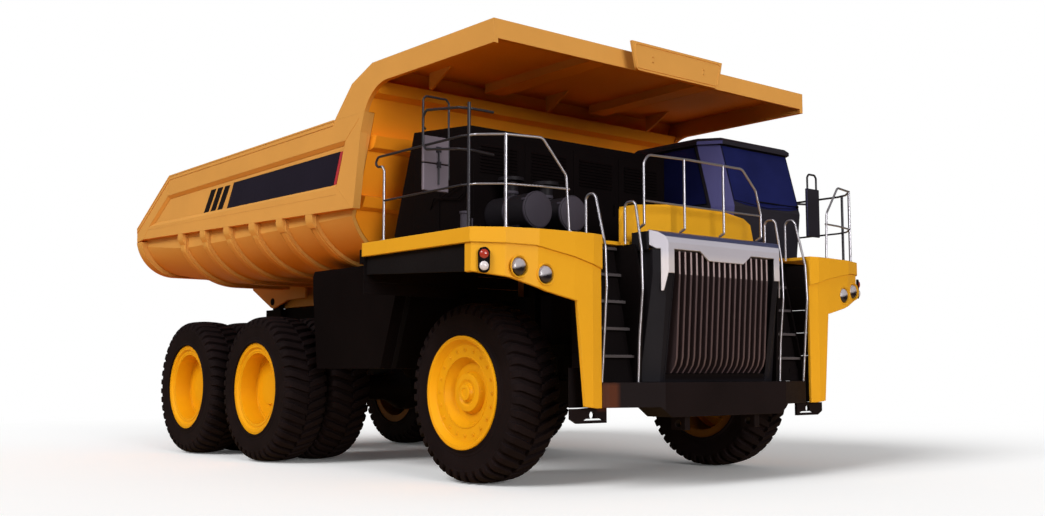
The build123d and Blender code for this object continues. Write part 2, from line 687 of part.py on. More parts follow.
def cab_plan(z, front_y, inset):
    """Plan of the cab at one height: chamfered front corners, straight sides."""
    x0, x1 = CAB_X0 + inset, CAB_X1 - inset
    front, back = front_y + inset, -2920 - inset
    cut_x, cut_y = 175 - 0.35 * inset, 240 - 0.35 * inset
    return closed_face([(x0, back, z), (x0, front + cut_y, z), (x0 + cut_x, front, z),
                        (x1 - cut_x, front, z), (x1, front + cut_y, z), (x1, back, z)])


def cab_body(inset, low, high):
    """Cab's outer form, or the room inside it, as a ruled loft of three plans."""
    plans = [cab_plan(low, -4380, inset), cab_plan(3360, -4450, inset),
             cab_plan(high, -4230, inset)]
    return loft(plans, ruled=True)


def window_cuts(gap):
    """Window openings: screen, right, left quarter and rear, each shrunk by a gap."""
    low, high = 3430 + gap, 4095 - gap
    lean = gap * 1.1
    screen = along_y([(1215 + lean, low), (2485 - lean, low), (2485 - lean, high),
                      (1215 + lean, high)], -4600, -4060)
    side = [(-4130 + lean, low), (-3000 - gap, low), (-3000 - gap, high), (-3960 + lean, high)]
    right = along_x(side, CAB_X0 - 10, CAB_X0 + CAB_WALL + 10)
    quarter = along_x([(-4130 + lean, low), (DOOR_Y0 - 60 - gap, low),
                       (DOOR_Y0 - 60 - gap, high), (-3960 + lean, high)],
                      CAB_X1 - CAB_WALL - 10, CAB_X1 + 10)
    rear = block(1300 + gap, 2400 - gap, -3000, -2900, 3450 + gap, 4000 - gap)
    return screen, right, quarter, rear


def cab_shell():
    """Hollow cab: walls with the windows and the door way cut."""
    shell = (cab_body(0, DECK_TOP + 1, EAVE_Z)
             - cab_body(CAB_WALL, DECK_TOP + 61, EAVE_Z + 1))
    for cutter in window_cuts(0):
        shell = shell - cutter
    return shell - block(CAB_X1 - CAB_WALL - 10, CAB_X1 + 10, DOOR_Y0, DOOR_Y1, DOOR_Z0, DOOR_Z1)


def cab_roof():
    """Roof slab with a brow that stands proud of the windscreen."""
    low = [(960, -2880), (960, -4020), (1150, -4290), (2530, -4290), (2706, -4020), (2706, -2880)]
    high = [(1000, -2920), (1000, -3990), (1180, -4240), (2500, -4240), (2668, -3990),
            (2668, -2920)]
    faces = [closed_face([(x, y, z) for x, y in plan])
             for plan, z in ((low, EAVE_Z + 1), (low, EAVE_Z + 45), (high, 4270))]
    return loft(faces, ruled=True)


def cab_glass():
    """Fixed panes: windscreen, right window, left quarter and rear window."""
    screen, right, quarter, rear = window_cuts(2)
    lean = [(-4436, 3400), (-4422, 3400), (-4223, 4140), (-4237, 4140)]
    return [
        along_x(lean, CAB_X0, CAB_X1) & screen,
        right & block(CAB_X0 + 20, CAB_X0 + 32, -4500, -2900, 3400, 4150),
        quarter & block(CAB_X1 - 32, CAB_X1 - 20, -4500, -2900, 3400, 4150),
        rear & block(CAB_X0, CAB_X1, -2960, -2948, 3400, 4150),
    ]


def cab_door():
    """Left door: frame with a cut window, as thick as the cab wall, on two hinges."""
    y0, y1 = DOOR_Y0 + DOOR_GAP, DOOR_Y1 - DOOR_GAP
    z0, z1 = DOOR_Z0 + DOOR_GAP, DOOR_Z1 - DOOR_GAP
    leaf = block(CAB_X1 - CAB_WALL + 6, CAB_X1, y0, y1, z0, z1)
    window = block(CAB_X1 - 100, CAB_X1 + 10, y0 + 90, y1 - 90, 3380, z1 - 80)
    handle = block(CAB_X1 - 1, CAB_X1 + 25, y1 - 160, y1 - 60, 3200, 3240)
    hinges = []
    for z in (3000, 3860):
        knuckle_pin = rod((DOOR_HINGE_X, DOOR_HINGE_Y, z), (DOOR_HINGE_X, DOOR_HINGE_Y, z + 110), 14)
        strap = block(CAB_X1 - 1, DOOR_HINGE_X, DOOR_HINGE_Y, DOOR_HINGE_Y + 100, z + 10, z + 100)
        hinges.append(fused(knuckle_pin, strap))
    pane = block(CAB_X1 - 32, CAB_X1 - 20, y0 + 91, y1 - 91, 3381, z1 - 81)
    return fused(leaf - window, handle, *hinges), pane


def seat():
    """Driver's seat: pedestal, cushion and back."""
    pedestal = block(1680, 1940, -3600, -3300, DECK_TOP + 61, 3080)
    cushion = block(1560, 2060, -3700, -3200, 3080, 3200)
    back = along_x([(-3260, 3200), (-3150, 3200), (-3060, 3850), (-3170, 3850)], 1570, 2050)
    return pedestal, [cushion, back]


def dash():
    """Dash under the windscreen, with the steering column and wheel."""
    body = along_x([(-4400, 2763), (-4400, 3330), (-4150, 3360), (-4080, 3150), (-4080, 2763)],
                   CAB_X0, CAB_X1) & cab_body(CAB_WALL + 2, DECK_TOP + 62, EAVE_Z)
    column = rod((1810, -4120, 3200), (1810, -3900, 3420), 30)
    rim = Pos(1810, -3900, 3420) * Rot(45, 0, 0) * (Cylinder(210, 30) - Cylinder(180, 40))
    spoke = Pos(1810, -3900, 3420) * Rot(45, 0, 0) * Box(380, 40, 20)
    return fused(body, column, rim, spoke)


def housing():
    """Closed cabinet behind the deck, its rear parallel to the body's front wall."""
    outline = [(-3470, DECK_TOP + 1), (-3470, 4080), (-2340, 4170), (-1930, 2940),
               (-2060, DECK_TOP + 1)]
    return along_x(outline, -2300, 930)


def air_cleaners():
    """Two round air cleaners on the right deck, each with an intake stub and a rain cap."""
    made = []
    for x in (-1900, -1370):
        can = rod((x, -4200, 3060), (x, -3480, 3060), 200)
        foot = block(x - 120, x + 120, -4000, -3700, DECK_TOP + 1, 3000)
        stub = rod((x, -3720, 3200), (x, -3720, 3440), 80)
        cap = rod((x, -3720, 3435), (x, -3720, 3475), 150)
        made.append(fused(can, foot, stub, cap))
    return made


def tank(x0, x1):
    outline = [(-1640, 1300), (-2000, 2300), (-2015, 2560), (-1975, 2615), (10, 2615),
               (52, 2560), (45, 2300), (-90, 1300)]
    return along_x(outline, x0, x1)


def tube(points, radius):
    """Round bar with mitred corners along a line of points."""
    first = Vector(*points[1]) - Vector(*points[0])
    section = Plane(origin=points[0], z_dir=first) * Circle(radius)
    return sweep(section, path=Polyline(*points), transition=Transition.RIGHT)


def guardrails():
    """Rails round the left front corner of the deck; the tail end hooks back on itself."""
    x = RAIL_X
    corner = [(x, -4560), (3190, -4720), (2960, -4930), (2560, -5030)]
    top = ([(x, -3140, DECK_TOP + 1), (x, -3140, 3490), (x, -3090, 3540), (x, -3010, 3545),
            (x, -2960, 3592), (x, -3010, RAIL_TOP_Z)]
           + [(px, py, RAIL_TOP_Z) for px, py in corner]
           + [(2260, -5062, 3290), (2225, -5066, DECK_TOP + 3)])
    mid = [(x, -3140, RAIL_MID_Z)] + [(px, py, RAIL_MID_Z) for px, py in corner]
    mid = mid + [(2225, -5066, RAIL_MID_Z)]
    posts = [rod((px, py, DECK_TOP + 1), (px, py, RAIL_TOP_Z + 10), 18)
             for px, py in ((3214, -4643), (2960, -4926))]
    return fused(tube(top, 14), tube(mid, 12), *posts)


def mirror_post():
    """Upper part of the right corner post, which carries the mirror's hoop."""
    return rod((-3214, -4643, RAIL_TOP_Z), (-3214, -4643, 4060), 18)


def centre_rail():
    """Rail over the grille's visor: square at the right end, sloped at the left end."""
    y = -5056
    top = [(-1100, y, 2880), (-1100, y, 3560), (-1030, y, 3660), (-350, y, 3680), (590, y, 3680),
           (840, y, 3440), (925, y, 3170), (925, y, 2880)]
    made = [tube(top, 14), tube([(-1100, y, 3140), (925, y, 3140)], 11)]
    for x in (-440, 240):
        made.append(rod((x, y, 2880), (x, y, 3682), 15))
    for x in (-1100, -440, 240, 925):
        made.append(tube([(x, y, 2900), (x, y, 2875), (x, y + 75, 2843)], 15))
    return fused(*made)


def grab_rails(side):
    """Bent silver rails on both sides of one ladder; side is 1 on the left, -1 on the right."""
    low = BUMPER_TOP + 4
    outer = [(-4800, 2662), (-4800, 3130), (-4840, 3172), (-4915, 3172), (-4955, 3130),
             (-5095, 2590), (-5112, 2160), (-5030, low)]
    inner = [(-4880, 2662), (-4880, 3085), (-4915, 3124), (-5010, 3124), (-5045, 3090),
             (-5128, 2600), (-5140, 2150), (-5085, 1620), (-5062, low)]
    return [tube([(side * x, y, z) for y, z in line], 15)
            for x, line in ((1736, outer), (1222, inner))]


def headlamps():
    """Two round lamps in the left front panel and an upright lamp cluster on its corner."""
    made = [rod((x, y - 5, z), (x, y + 70, z), LAMP_R) for x, y, z in FENDER_LAMPS]
    cluster = [(3139, -4875), (3214, -4822), (3231, -4845), (3156, -4898)]
    made.append(along_z(cluster, 2285, 2500))
    return made


def tail_lamps():
    """Plain lamp blocks on the tail plate."""
    return both_sides(block(380, 560, 4601, 4640, 1960, 2080))


def right_mirror():
    """Grey mirror on an upright hoop, held by a sideways hoop from the corner post."""
    x = -3287
    side_hoop = tube([
        (-2935, -4690, 3925), (-3200, -4655, 3935), (x, -4560, 3950), (x, -3990, 4020),
        (x, -3935, 3960), (x, -3935, 3660), (x, -3990, 3598), (x, -4560, 3520),
        (-3200, -4655, 3505), (-2880, -4625, 3495),
    ], 14)
    upright = tube([(-3205, -3860, 3330), (-3205, -3860, 4050), (-3170, -3860, 4090),
                    (-2960, -3860, 4090), (-2925, -3860, 4050), (-2925, -3860, 3330)], 12)
    plate = block(-3222, -2948, -3912, -3870, 3180, 3772)
    link = rod((x, -3935, 3850), (-3205, -3860, 3850), 10)
    post = rod((-3214, -4643, 3400), (-3214, -4643, 4100), 24)
    return fused(side_hoop - post, upright, plate, link)


def left_mirror():
    """Black mirror in an upright hoop, on an arm from the cab."""
    hoop = tube([(2940, -4280, 3180), (2940, -4280, 3940), (2975, -4280, 3980),
                 (3105, -4280, 3980), (3140, -4280, 3940), (3140, -4280, 3180)], 14)
    plate = block(2900, 3180, -4302, -4262, 3110, 3780)
    arm = tube([(CAB_X1 + 9, -4155, 3557), (2790, -4200, 3557), (2945, -4280, 3557)], 14)
    foot = block(CAB_X1 + 1, CAB_X1 + 13, -4190, -4110, 3510, 3600)
    return fused(hoop, plate, arm, foot)


def mirrors():
    return [right_mirror(), left_mirror()]


def engine():
    return block(-430, 430, -4600, -2750, 1250, 2350)


def write_chassis():
    write("frame", *both_sides(frame_side()))
    write("frame_crossmembers", *crossmembers())
    write("front_axle", front_axle())
    write("rear_axles", *[rear_axle(y) for y in REAR_AXLE_YS])
    write("rear_suspension", rear_suspension())
    write("drive_shafts", *drive_shafts())
    write("engine", engine())
    write("bumper", bumper())
    write("radiator", radiator())
    write("grille_slats", *grille_slats())
    write("grille_surround", grille_surround())
    write("cowl", cowl())
    write("deck", deck())
    write("deck_skirts", *both_sides(deck_skirt()))
    write("deck_supports", *deck_supports())
    write("ladders", *both_sides(ladder()))
    left_rails = guardrails()
    write("guardrails", left_rails, mirrored(left_rails) + mirror_post(), centre_rail())
    write("cab_shell", cab_shell())
    write("cab_roof", cab_roof())
    write("cab_glass", *cab_glass())
    write("dash", dash())
    pedestal, cushions = seat()
    write("seat_base", pedestal)
    write("seat_cushions", *cushions)
    write("grab_rails", *grab_rails(1), *grab_rails(-1))
    write("headlamps", *[piece for lamp in headlamps() for piece in both_sides(lamp)])
    write("tail_lamps", *tail_lamps())
    write("mirrors", *mirrors())
    write("housing", housing())
    write("air_cleaners", *air_cleaners())
    write("fuel_tank", tank(-2300, -1050))
    write("hydraulic_tank", tank(1050, 2200))


def write_movers():
    write("bed_liner", bed_liner())
    write("bed_side_left", bed_side())
    write("bed_side_right", mirrored(bed_side()))
    write("bed_front_wall", bed_front_wall())
    write("bed_canopy", bed_canopy())
    write("name_board", name_board())
    write("sign_panels", *both_sides(sign_panels()))
    write("bed_stringers", *bed_stringers())
    barrel, ram = hoist_parts()
    write("hoist_barrel_left", barrel)
    write("hoist_rod_left", ram)
    write("hoist_barrel_right", mirrored(barrel))
    write("hoist_rod_right", mirrored(ram))
    write("knuckle_left", knuckle())
    write("knuckle_right", mirrored(knuckle()))
    leaf, pane = cab_door()
    write("cab_door", leaf)
    write("cab_door_glass", pane)


os.makedirs("parts", exist_ok=True)
write_wheels()
write_chassis()
write_movers()
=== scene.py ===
import json
from math import atan2, cos, pi, radians, sin, tan

import bmesh
import bpy
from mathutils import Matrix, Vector


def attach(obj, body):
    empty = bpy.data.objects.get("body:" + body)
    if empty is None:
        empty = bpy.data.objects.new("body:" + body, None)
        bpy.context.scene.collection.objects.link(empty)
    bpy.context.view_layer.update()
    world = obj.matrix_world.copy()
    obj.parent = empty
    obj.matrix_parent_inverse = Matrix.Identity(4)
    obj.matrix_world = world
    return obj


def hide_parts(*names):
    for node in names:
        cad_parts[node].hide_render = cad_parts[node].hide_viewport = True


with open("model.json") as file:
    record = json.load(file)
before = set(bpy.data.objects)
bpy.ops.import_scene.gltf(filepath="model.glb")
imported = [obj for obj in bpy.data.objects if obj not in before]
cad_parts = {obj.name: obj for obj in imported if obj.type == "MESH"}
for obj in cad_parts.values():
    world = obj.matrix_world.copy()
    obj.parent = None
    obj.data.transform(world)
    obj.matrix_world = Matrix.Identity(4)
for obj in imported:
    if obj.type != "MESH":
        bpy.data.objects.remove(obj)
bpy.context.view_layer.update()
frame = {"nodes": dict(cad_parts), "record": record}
nodes = frame["nodes"]
slots = {part["node"]: part["material_slot"] for part in frame["record"]["subparts"]}
materials = {}

SIDES = (("left", 1), ("right", -1))
AXLE_Z = 1.025
FRONT_AXLE_Y = -3.36
REAR_AXLE_YS = (1.138, 3.416)
FRONT_TYRE_X = 2.005
REAR_TYRE_XS = (1.592, 2.285)
BODY_X = 2.704
DECK_TOP = 2.701
LEFT, REAR, UP = (Vector(axis) for axis in ((1, 0, 0), (0, 1, 0), (0, 0, 1)))
UPRIGHT = (UP, LEFT, REAR)


# ---- materials ----
def feed(tree, node, inputs):
    """Sets inputs of a node, each to a plain value or a link from a socket."""
    for entry, value in inputs.items():
        if isinstance(value, bpy.types.NodeSocket):
            tree.links.new(value, node.inputs[entry])
        else:
            node.inputs[entry].default_value = value


def add(tree, kind, inputs=None, **settings):
    node = tree.nodes.new("ShaderNode" + kind)
    for key, value in settings.items():
        setattr(node, key, value)
    feed(tree, node, inputs or {})
    return node


def new_material(name):
    material = materials[name] = bpy.data.materials.new(name)
    material.use_nodes = True
    return material.node_tree, material.node_tree.nodes["Principled BSDF"]


def noise(tree, scale, detail=4):
    coords = add(tree, "TexCoord").outputs["Object"]
    return add(tree, "TexNoise", {"Scale": scale, "Detail": detail, "Vector": coords}).outputs["Fac"]


def remap(tree, source, low, high, out_low=0, out_high=1):
    return add(tree, "MapRange", {"Value": source, "From Min": low, "From Max": high,
            "To Min": out_low, "To Max": out_high}).outputs["Result"]


def mixed(tree, first, second, factor):
    """Mix of two colours, each a tuple or a socket."""
    inputs = {0: factor}
    for entry, value in ((6, first), (7, second)):
        inputs[entry] = (*value, 1) if isinstance(value, tuple) else value
    return add(tree, "Mix", inputs, data_type="RGBA").outputs[2]


def maths(tree, operation, first, second):
    return add(tree, "Math", {0: first, 1: second}, operation=operation).outputs[0]


def dot_product(tree, first, second):
    return add(tree, "VectorMath", {0: first, 1: second}, operation="DOT_PRODUCT").outputs["Value"]


def paint(name, colour, rough, spec, shade, edge=0, edge_wear_and_highlight=None, metallic=0, coat=0, patch=1.3,
        grain=60, bump=0.05, edge_wear_and_highlight_amount=0.5):
    """Paint or bare metal: patchy tone, uneven gloss, fine grain, rounded edges, and lighter edges that are
    partly wear and partly a painted highlight.
    """
    tree, shader = new_material(name)
    tone = remap(tree, noise(tree, patch, 5), 0.35, 0.68)
    base = mixed(tree, colour, tuple(c * shade for c in colour), tone)
    fine = noise(tree, grain)
    bumps = {"Strength": bump, "Distance": 0.002, "Height": fine}
    if edge:
        bumps["Normal"] = add(tree, "Bevel", {"Radius": edge}, samples=4).outputs["Normal"]
    # edge colour: part wear, part painted highlight on the rounded edges
    if edge_wear_and_highlight:
        plain = add(tree, "NewGeometry").outputs["Normal"]
        edges = remap(tree, dot_product(tree, bumps["Normal"], plain), 0.985, 0.35)
        spots = remap(tree, noise(tree, 14, 6), 0.42, 0.62)
        mask = maths(tree, "MULTIPLY", maths(tree, "MULTIPLY", edges, spots), edge_wear_and_highlight_amount)
        base = mixed(tree, base, edge_wear_and_highlight, mask)
    gloss = remap(tree, fine, 0.3, 0.7, max(rough - 0.07, 0.02), min(rough + 0.09, 1))
    feed(tree, shader, {
        "Base Color": base, "Roughness": gloss, "Metallic": metallic, "Specular IOR Level": spec,
        "Coat Weight": coat, "Coat Roughness": 0.12, "Normal": add(tree, "Bump", bumps).outputs[0],
    })


def tint(name, colour, mask, *limits):
    """Puts another colour where a mask built in the same tree is high."""
    tree = materials[name].node_tree
    shader = tree.nodes["Principled BSDF"]
    base = shader.inputs["Base Color"].links[0].from_socket
    feed(tree, shader, {"Base Color": mixed(tree, base, colour, mask(tree, *limits))})


def above(tree, axis, limit, soft=0.004):
    """Mask: 1 where a coordinate is over a limit."""
    coords = add(tree, "TexCoord").outputs["Object"]
    place = add(tree, "SeparateXYZ", {0: coords}).outputs[axis]
    return remap(tree, place, limit - soft, limit + soft)


def below(tree, axis, limit, soft):
    return maths(tree, "SUBTRACT", 1, above(tree, axis, limit, soft))


def inside(tree, low, high, soft=0.03):
    """Mask: 1 inside a box given by its low and high corners, with a soft edge."""
    mask, *edges = (side(tree, axis, limit[axis], soft) for axis in range(3)
            for side, limit in ((above, low), (below, high)))
    for edge in edges:
        mask = maths(tree, "MULTIPLY", mask, edge)
    return mask


def facing(tree, direction, low, high):
    """Mask: 1 where the surface faces a direction in the object's own frame."""
    normal = add(tree, "TexCoord").outputs["Normal"]
    return remap(tree, dot_product(tree, normal, Vector(direction).normalized()), low, high)


def glass(name, colour, alpha):
    """Dark or clear pane with a faint smear."""
    tree, shader = new_material(name)
    smear = noise(tree, 2.2)
    tone = remap(tree, smear, 0.3, 0.7)
    feed(tree, shader, {
        "Base Color": mixed(tree, colour, tuple(c * 0.72 for c in colour), tone),
        "Roughness": remap(tree, smear, 0.3, 0.7, 0.08, 0.15), "Specular IOR Level": 0.06,
        "Alpha": alpha,
    })


def fabric(name):
    """Woven cover: crossed threads, a soft sheen and a faint heather."""
    tree, shader = new_material(name)
    wave = {"Scale": 160, "Distortion": 0.6, "Vector": add(tree, "TexCoord").outputs["Object"]}
    weave = maths(tree, "MULTIPLY", *(add(tree, "TexWave", wave, bands_direction=axis).outputs["Fac"]
            for axis in ("X", "Z")))
    patch = noise(tree, 9)
    base = mixed(tree, (0.035, 0.034, 0.038), (0.06, 0.058, 0.064), remap(tree, patch, 0.3, 0.7))
    bumps = add(tree, "Bump", {"Strength": 0.5, "Distance": 0.002, "Height": weave})
    feed(tree, shader, {
        "Base Color": mixed(tree, base, (0.095, 0.09, 0.1), weave), "Sheen Weight": 0.3,
        "Roughness": remap(tree, patch, 0.3, 0.7, 0.8, 0.95), "Normal": bumps.outputs[0],
    })


# painted sky reflection
SKY_REFLECTION_BLUE = (0.045, 0.05, 0.115)
# painted shade between the slats
SLAT_SIDE_SHADE = (0.04, 0.026, 0.028)
TINTS = (
    # material, colour, mask and its limits
    # painted shade: faces turned downward are painted a deeper orange
    ("body_yellow", (0.74, 0.19, 0.006), facing, (0, 0, -1), 0.3, 0.95),
    # painted shade: the inboard parts of the wheels are painted dark orange
    ("wheel_yellow", (0.14, 0.05, 0.002), inside, (-2.08, -9, -1), (2.08, 9, 9), 0.02),
    # painted shade: the radiator behind the grille is painted near black
    ("housing_grey", (0.0048, 0.003, 0.0032), inside, (-0.86, -6, 1.16), (0.86, 0, 2.6)),
    ("bumper_black", (0.075, 0.022, 0.01), inside, (-1.77, -6, 0.86), (-1.58, 0, 1.14)),
    # painted reflection: a blue sheen painted on cab faces turned to the near side and front
    ("cab_black", (0.062, 0.059, 0.165), facing, (-0.8, -0.58, 0.15), 0.93, 0.975),
    # painted sky reflection on the visor's upward faces and in a patch near its top
    ("visor_silver", SKY_REFLECTION_BLUE, facing, (0, 0, 1), 0.52, 0.68),
    ("visor_silver", SKY_REFLECTION_BLUE, inside, (-0.82, -6, 2.738), (1.3, 0, 3), 0.012),
    # painted light: the visor's lower part is painted lighter and warmer
    ("visor_silver", (0.62, 0.575, 0.6), below, 2, 2.52, 0.06),
    # painted light: the slats' upright upper part is painted lighter
    ("slat_satin", (0.4, 0.315, 0.325), above, 2, 2.33),
    # painted shade: the slats' side faces are painted darker
    ("slat_satin", SLAT_SIDE_SHADE, facing, (-1, 0, 0), 0.7, 0.97),
    ("slat_satin", SLAT_SIDE_SHADE, facing, (1, 0, 0), 0.7, 0.97),
    # painted shade: the lower half of each lamp dome is painted dark
    ("lamp_dome", (0.014, 0.01, 0.012), facing, (0.25, 0, -1), -0.06, 0.06),
)
NODE_MATERIALS = {
    "deck": "deck_yellow", "cowl": "deck_yellow", "radiator": "housing_grey",
    "bumper": "bumper_black", "grille_surround": "visor_silver", "housing": "cabinet_black",
    "fuel_tank": "cabinet_black", "hydraulic_tank": "cabinet_black", "deck_skirts": "skirt_grey",
    "air_cleaners": "cleaner_black", "dash": "inner_trim", "seat_base": "inner_trim",
    "tail_lamps": "lens_red", "bed_front_wall": "wall_yellow_painted_bounce",
}


def build_materials():
    """After each colour: roughness, specular, darkest patch, edge radius, colour of the edges (part wear,
    part painted highlight).
    """
    paint("body_yellow", (0.68, 0.322, 0.07), 0.45, 0.12, 0.94, 0.008, (0.88, 0.52, 0.14))
    # the front wall's yellow is painted a deeper, brighter orange: painted warm bounce light in the shade
    # under the canopy
    paint("wall_yellow_painted_bounce", (0.9, 0.3, 0.014), 0.5, 0.08, 0.92, 0.008, (0.8, 0.4, 0.08))
    paint("deck_yellow", (0.735, 0.35, 0.014), 0.4, 0.1, 0.95, 0.016, (0.95, 0.6, 0.12), edge_wear_and_highlight_amount=0.6)
    paint("wheel_yellow", (0.77, 0.345, 0.004), 0.4, 0.12, 0.94, 0.006, (0.85, 0.47, 0.04), patch=2.5)
    paint("frame_black", (0.006, 0.0042, 0.0046), 0.55, 0.05, 0.7, 0.006, (0.025, 0.021, 0.022))
    paint("cabinet_black", (0.0048, 0.003, 0.0032), 0.6, 0.03, 0.7, 0.008, (0.02, 0.015, 0.017))
    paint("skirt_grey", (0.0085, 0.007, 0.0078), 0.6, 0.06, 0.7, 0.008, (0.025, 0.024, 0.027))
    paint("bumper_black", (0.0098, 0.0062, 0.007), 0.5, 0.06, 0.75, 0.014, (0.05, 0.042, 0.044), edge_wear_and_highlight_amount=0.9)
    paint("housing_grey", (0.011, 0.0098, 0.0125), 0.5, 0.08, 0.75, 0.012, (0.04, 0.038, 0.045))
    paint("cab_black", (0.021, 0.0185, 0.025), 0.45, 0.08, 0.8, 0.01, (0.045, 0.04, 0.05))
    paint("rail_silver", (0.46, 0.44, 0.48), 0.34, 0.5, 0.9, metallic=0.9, grain=3, bump=0)
    paint("dark_rail", (0.03, 0.027, 0.033), 0.32, 0.3, 0.8, metallic=0.3, grain=120)
    paint("visor_silver", (0.5, 0.485, 0.56), 0.36, 0.4, 0.96, 0.014, metallic=0.2, patch=0.8, bump=0)
    paint("slat_satin", (0.105, 0.071, 0.075), 0.42, 0.2, 0.8, 0.004, (0.16, 0.12, 0.13), metallic=0.2,
        edge_wear_and_highlight_amount=0.8)
    paint("ram_chrome", (0.62, 0.62, 0.64), 0.12, 0.5, 0.95, metallic=1, grain=200, bump=0.01)
    paint("tyre", (0.0092, 0.0052, 0.0056), 0.8, 0.07, 0.7, 0.008, (0.03, 0.022, 0.023), patch=3,
        grain=90, bump=0.25, edge_wear_and_highlight_amount=0.7)
    paint("seal_black", (0.004, 0.0035, 0.004), 0.55, 0.05, 0.8)
    paint("sign_dark", (0.013, 0.01, 0.02), 0.35, 0.12, 0.85, 0.004, (0.05, 0.045, 0.06))
    paint("stripe_black", (0.01, 0.007, 0.008), 0.45, 0.1, 0.8)
    paint("strip_red", (0.48, 0.035, 0.045), 0.35, 0.3, 0.85)
    paint("mirror_grey", (0.2, 0.165, 0.2), 0.38, 0.3, 0.85, 0.006, (0.34, 0.3, 0.34), metallic=0.2)
    paint("cleaner_grey", (0.05, 0.042, 0.055), 0.55, 0.12, 0.88, 0.008, (0.1, 0.09, 0.11))
    paint("cleaner_black", (0.013, 0.0105, 0.013), 0.5, 0.1, 0.8, 0.008, (0.05, 0.045, 0.052))
    paint("tread_plate", (0.03, 0.029, 0.031), 0.5, 0.3, 0.7, 0.003, (0.2, 0.2, 0.2), metallic=0.4,
        bump=0.2, edge_wear_and_highlight_amount=0.8)
    paint("step_grey", (0.1, 0.088, 0.095), 0.45, 0.3, 0.75, 0.003, (0.22, 0.21, 0.22), metallic=0.3)
    paint("lens_red", (0.42, 0.035, 0.02), 0.15, 0.5, 0.8, coat=0.3, grain=30)
    paint("lens_white", (0.72, 0.66, 0.68), 0.15, 0.5, 0.85, coat=0.3, grain=30)
    paint("mirror_glass", (0.55, 0.58, 0.62), 0.04, 0.5, 0.97, metallic=1, bump=0)
    paint("inner_trim", (0.045, 0.043, 0.045), 0.65, 0.25, 0.8, 0.01, (0.08, 0.08, 0.08), bump=0.3,
        grain=300)
    paint("lamp_dome", (0.46, 0.44, 0.48), 0.16, 0.5, 0.85, coat=0.3, grain=40, bump=0)
    for row in TINTS:
        tint(*row)
    glass("cab_glass", (0.0105, 0.0135, 0.078), 0.97)
    glass("lamp_lens", (0.8, 0.82, 0.88), 0.3)
    fabric("seat_fabric")


def dress_nodes():
    """Puts materials on the CAD nodes that stay."""
    for name, made in nodes.items():
        made.data.materials.clear()
        made.data.materials.append(materials[NODE_MATERIALS.get(name, slots[name])])


# ---- mesh building ----
def flat(axis, at, line):
    """Points given by their other two coordinates, at one place on an axis."""
    return [(*point[:axis], at, *point[axis:]) for point in line]


def circle(centre, u, v, radius, count, start=0):
    """Points round a centre in the plane of two directions."""
    turns = (2 * pi * k / count + start for k in range(count))
    return [Vector(centre) + (u * cos(t) + v * sin(t)) * radius for t in turns]


def closed(line):
    return [*line, line[0]]


def frame_of(normal):
    """Axes of a form that faces a level direction."""
    along = Vector(normal).normalized()
    return along, along.cross(UP).normalized(), UP


def bent_path(points, bend, steps=6):
    path = [points[0]]
    for before, corner, after in zip(points, points[1:], points[2:]):
        back, ahead = before - corner, after - corner
        turn = pi - back.angle(ahead)
        if turn < 0.02 or bend <= 0:
            path.append(corner)
            continue
        cut = min(bend * tan(turn / 2), 0.46 * back.length, 0.46 * ahead.length)
        start, end = corner + back.normalized() * cut, corner + ahead.normalized() * cut
        for k in range(steps + 1):
            t = k / steps
            path.append(start * (1 - t) ** 2 + corner * 2 * t * (1 - t) + end * t * t)
    path.append(points[-1])
    return path


